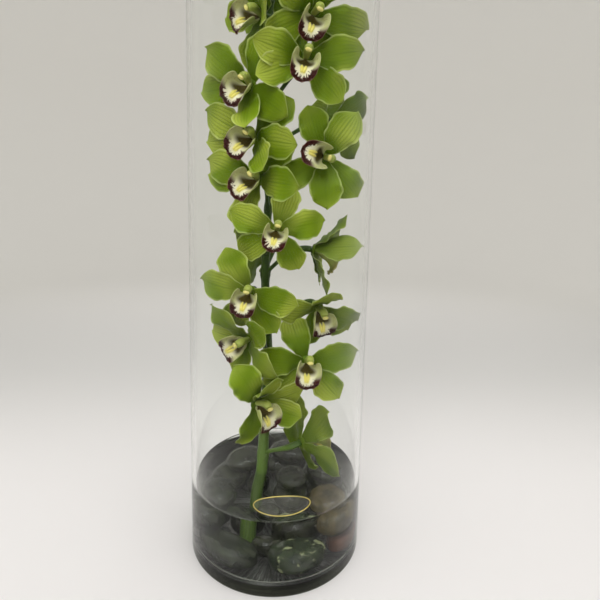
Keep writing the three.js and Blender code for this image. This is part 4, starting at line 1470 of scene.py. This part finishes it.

# %% [markdown]
# The lip is cream, with a broad band of maroon spots round its front lobe that run together towards a
# thin pale pink edge. How close a point is to that edge is worked out from its marks. Noise decides where
# the spots fall, and the nearer the edge, the more of the noise counts as maroon. The coats are laid in
# the order of the sentence. The dark olive-brown in the throat under the column is painted shade, where
# the column and the side lobes shade the cream.

# %% The lip's finishes
CREAM, PALE_CREAM, SIDE_LOBE, YELLOW = colours(
    (234, 228, 190), (250, 246, 222), (196, 202, 122), (232, 222, 96))
# painted shade: the dark olive-brown of the throat under the column
THROAT_SHADE, FLECK, MAROON, PINK_EDGE = colours((78, 66, 22), (112, 34, 40), (58, 4, 12), (176, 122, 108))
LIP_BACK, PALE_BACK, SHINING_THROUGH, BACK_RIM = colours(
    (160, 172, 78), (196, 202, 124), (120, 74, 62), (222, 218, 168))
LIP_GLOW = colour(176, 178, 120)


def lip_finish():
    finish = Finish("cream_lip")
    row, u, side = finish.marks()
    t = row * LIP_END
    off_middle = abs(u)
    front = finish.smooth(t, 4.9, 6.3)
    forward = ((t - 5.6) / 5.4).most(0)
    rim = (off_middle ** 3 + forward ** 3) ** 0.333
    outward = finish.node("ShaderNodeCombineXYZ", {}, {
        0: u * 7 / (rim + 0.05), 1: forward * 7 / (rim + 0.05), 2: rim * 2 + finish.height() * 40})
    streaks = finish.noise(outward, 1.0, 2.0, 0.6)
    blots = finish.grain(1.1, 2, 0.6)
    crowd = finish.smooth(rim, 0.2, 0.9)
    spotted = finish.smooth(crowd * 0.9 + streaks * 1.7 + blots * 0.7, 1.56, 1.68)
    flecks = finish.smooth(blots, 0.6, 0.66) * finish.smooth(off_middle, 0.45, 0.8) * (1 - front)
    # painted shade: the throat under the column, where the column and side lobes shade it
    throat_shade = (1 - finish.smooth(t, 3.4, 5.4)) * (1 - finish.smooth(off_middle, 0.3, 0.62))
    yellow = finish.smooth(t, 3.8, 5) * (1 - finish.smooth(t, 6.6, 8.4))
    clouds = finish.grain(5)
    inside = finish.coats(
        finish.mix(clouds, CREAM, PALE_CREAM),
        ((1 - finish.smooth(t, 5, 6.6)) * finish.smooth(off_middle, 0.25, 0.7), 0.75, SIDE_LOBE),
        (yellow * (1 - finish.smooth(off_middle, 0.08, 0.3)), 0.75, YELLOW),
        # painted shade in the throat
        (throat_shade, 1, THROAT_SHADE),
        (flecks, 0.6, FLECK),
        (spotted * front, 1, MAROON),
        (finish.smooth(rim, 0.955, 1) * front, 0.45, PINK_EDGE),
    )
    outside = finish.coats(
        finish.mix(clouds, LIP_BACK, PALE_BACK),
        (front * crowd, 0.45, SHINING_THROUGH),
        (finish.smooth(off_middle, 0.86, 0.98) * (1 - front * 0.5), 0.5, BACK_RIM),
    )
    shade = finish.mix(finish.smooth(side, 0, 1), outside, inside)
    bump = finish.relief(blots, 0.12, 0.5)
    return finish.show(finish.leaf(shade, 0.55, 0.14, bump, 0.12, LIP_GLOW))


def ridge_finish():
    finish = Finish("yellow_ridge")
    shade = finish.mix(finish.grain(2), *colours((226, 212, 84), (242, 234, 144)))
    return finish.show(finish.skin(shade, 0.45, 0.4, finish.relief(finish.grain(0.6), 0.12, 0.5)))


def column_finish():
    finish = Finish("pale_column")
    _, around, _ = finish.marks()
    clouds = finish.grain(4)
    dots = finish.smooth(finish.grain(0.9, 1), 0.64, 0.7) * finish.smooth(around, 0.5, 0.62)
    ground = finish.mix(clouds, *colours((138, 152, 58), (172, 182, 90)))
    shade = finish.coats(ground, (dots, 0.5, colour(140, 60, 60)))
    return finish.show(finish.skin(shade, 0.4, 0.4, finish.relief(clouds, 0.15, 0.4)))


def cap_finish():
    finish = Finish("yellow_cap")
    shade = finish.mix(finish.grain(1.5), *colours((206, 194, 96), (226, 216, 142)))
    return finish.show(finish.skin(shade, 0.38, 0.45))


LIP_FINISHES = [lip_finish(), ridge_finish(), column_finish(), cap_finish()]


def lip_piece(number, bloom):
    piece = Piece(LIP_FINISHES)
    for part in (lip_sheet(bloom), ridge(bloom, 1), ridge(bloom, -1), column_tube(bloom), cap(bloom)):
        piece.add(*part)
    return piece.make(f"bloom_lip_{number:02d}", "cream_lip", f"lip_{number:02d}")


made = [lip_piece(number, bloom) for number, bloom in enumerate(blooms, 1)]
print("faces of one lip and column:", len(made[0].data.polygons))

# %% [markdown]
# ## The label
#
# A clear oval film lies on the outside of the glass, near the water line. It is bare, with a thin gold
# line round it. The film and the line are two narrow shells that follow the cylinder.

# %% The label's shape and finishes
LABEL_WIDTH = 44
LABEL_HEIGHT = 17
LABEL_CENTRE_X = 5
LABEL_CENTRE_Z = 79.2
LABEL_SIDES = 72
FILM_INSETS = [0.3, 2.5, 5, 7.5, 8.3]
FILM_THICKNESS = 0.08
RIM_WIDTH = 0.7
RIM_THICKNESS = 0.3
FILM_FACE = VASE_RADIUS + GAP
LINE_FACE = FILM_FACE + 0.22


def on_glass(rings, radius):
    """Corners of oval rings on the cylinder. A ring has an inset from the oval and a rise above radius."""
    corners = []
    middle = -math.pi / 2 + LABEL_CENTRE_X / VASE_RADIUS
    for inset, rise in rings:
        for k in range(LABEL_SIDES):
            turn = 2 * math.pi * k / LABEL_SIDES
            angle = middle + (LABEL_WIDTH / 2 - inset) / VASE_RADIUS * math.cos(turn)
            height = LABEL_CENTRE_Z + (LABEL_HEIGHT / 2 - inset) * math.sin(turn)
            corners.append(((radius + rise) * math.cos(angle), (radius + rise) * math.sin(angle), height))
    return np.array(corners)


def film_finish():
    finish = Finish("clear_film")
    return finish.show(finish.skin(colour(228, 230, 220), 0.12, 0.5, more={"Alpha": 0.07}))


def gold_finish():
    finish = Finish("gold_line")
    worn = finish.grain(1.5)
    shade = finish.mix(worn, *colours((206, 186, 92), (232, 216, 136)))
    return finish.show(finish.skin(shade, 0.3 + worn * 0.15, 0.5, more={"Metallic": 0.75}))


print("gold line:", RIM_WIDTH, "mm wide")
label = Piece([film_finish(), gold_finish()])
film_rings = [(inset, FILM_THICKNESS) for inset in FILM_INSETS]
rings = [list(range(n * LABEL_SIDES, (n + 1) * LABEL_SIDES)) for n in range(len(FILM_INSETS))]
label.add(on_glass(film_rings, FILM_FACE), strips(rings) + rings[-1:], 0)
line_rings = [(0, 0), (0, RIM_THICKNESS), (RIM_WIDTH, RIM_THICKNESS), (RIM_WIDTH, 0)]
line_faces = strips(rings[:4] + rings[:1])
label.add(on_glass(line_rings, LINE_FACE), [face[::-1] for face in line_faces], 1)
label = label.make("oval_label", "clear_label", "label")
print("label faces:", len(label.data.polygons))

# %% The end
bpy.context.view_layer.update()
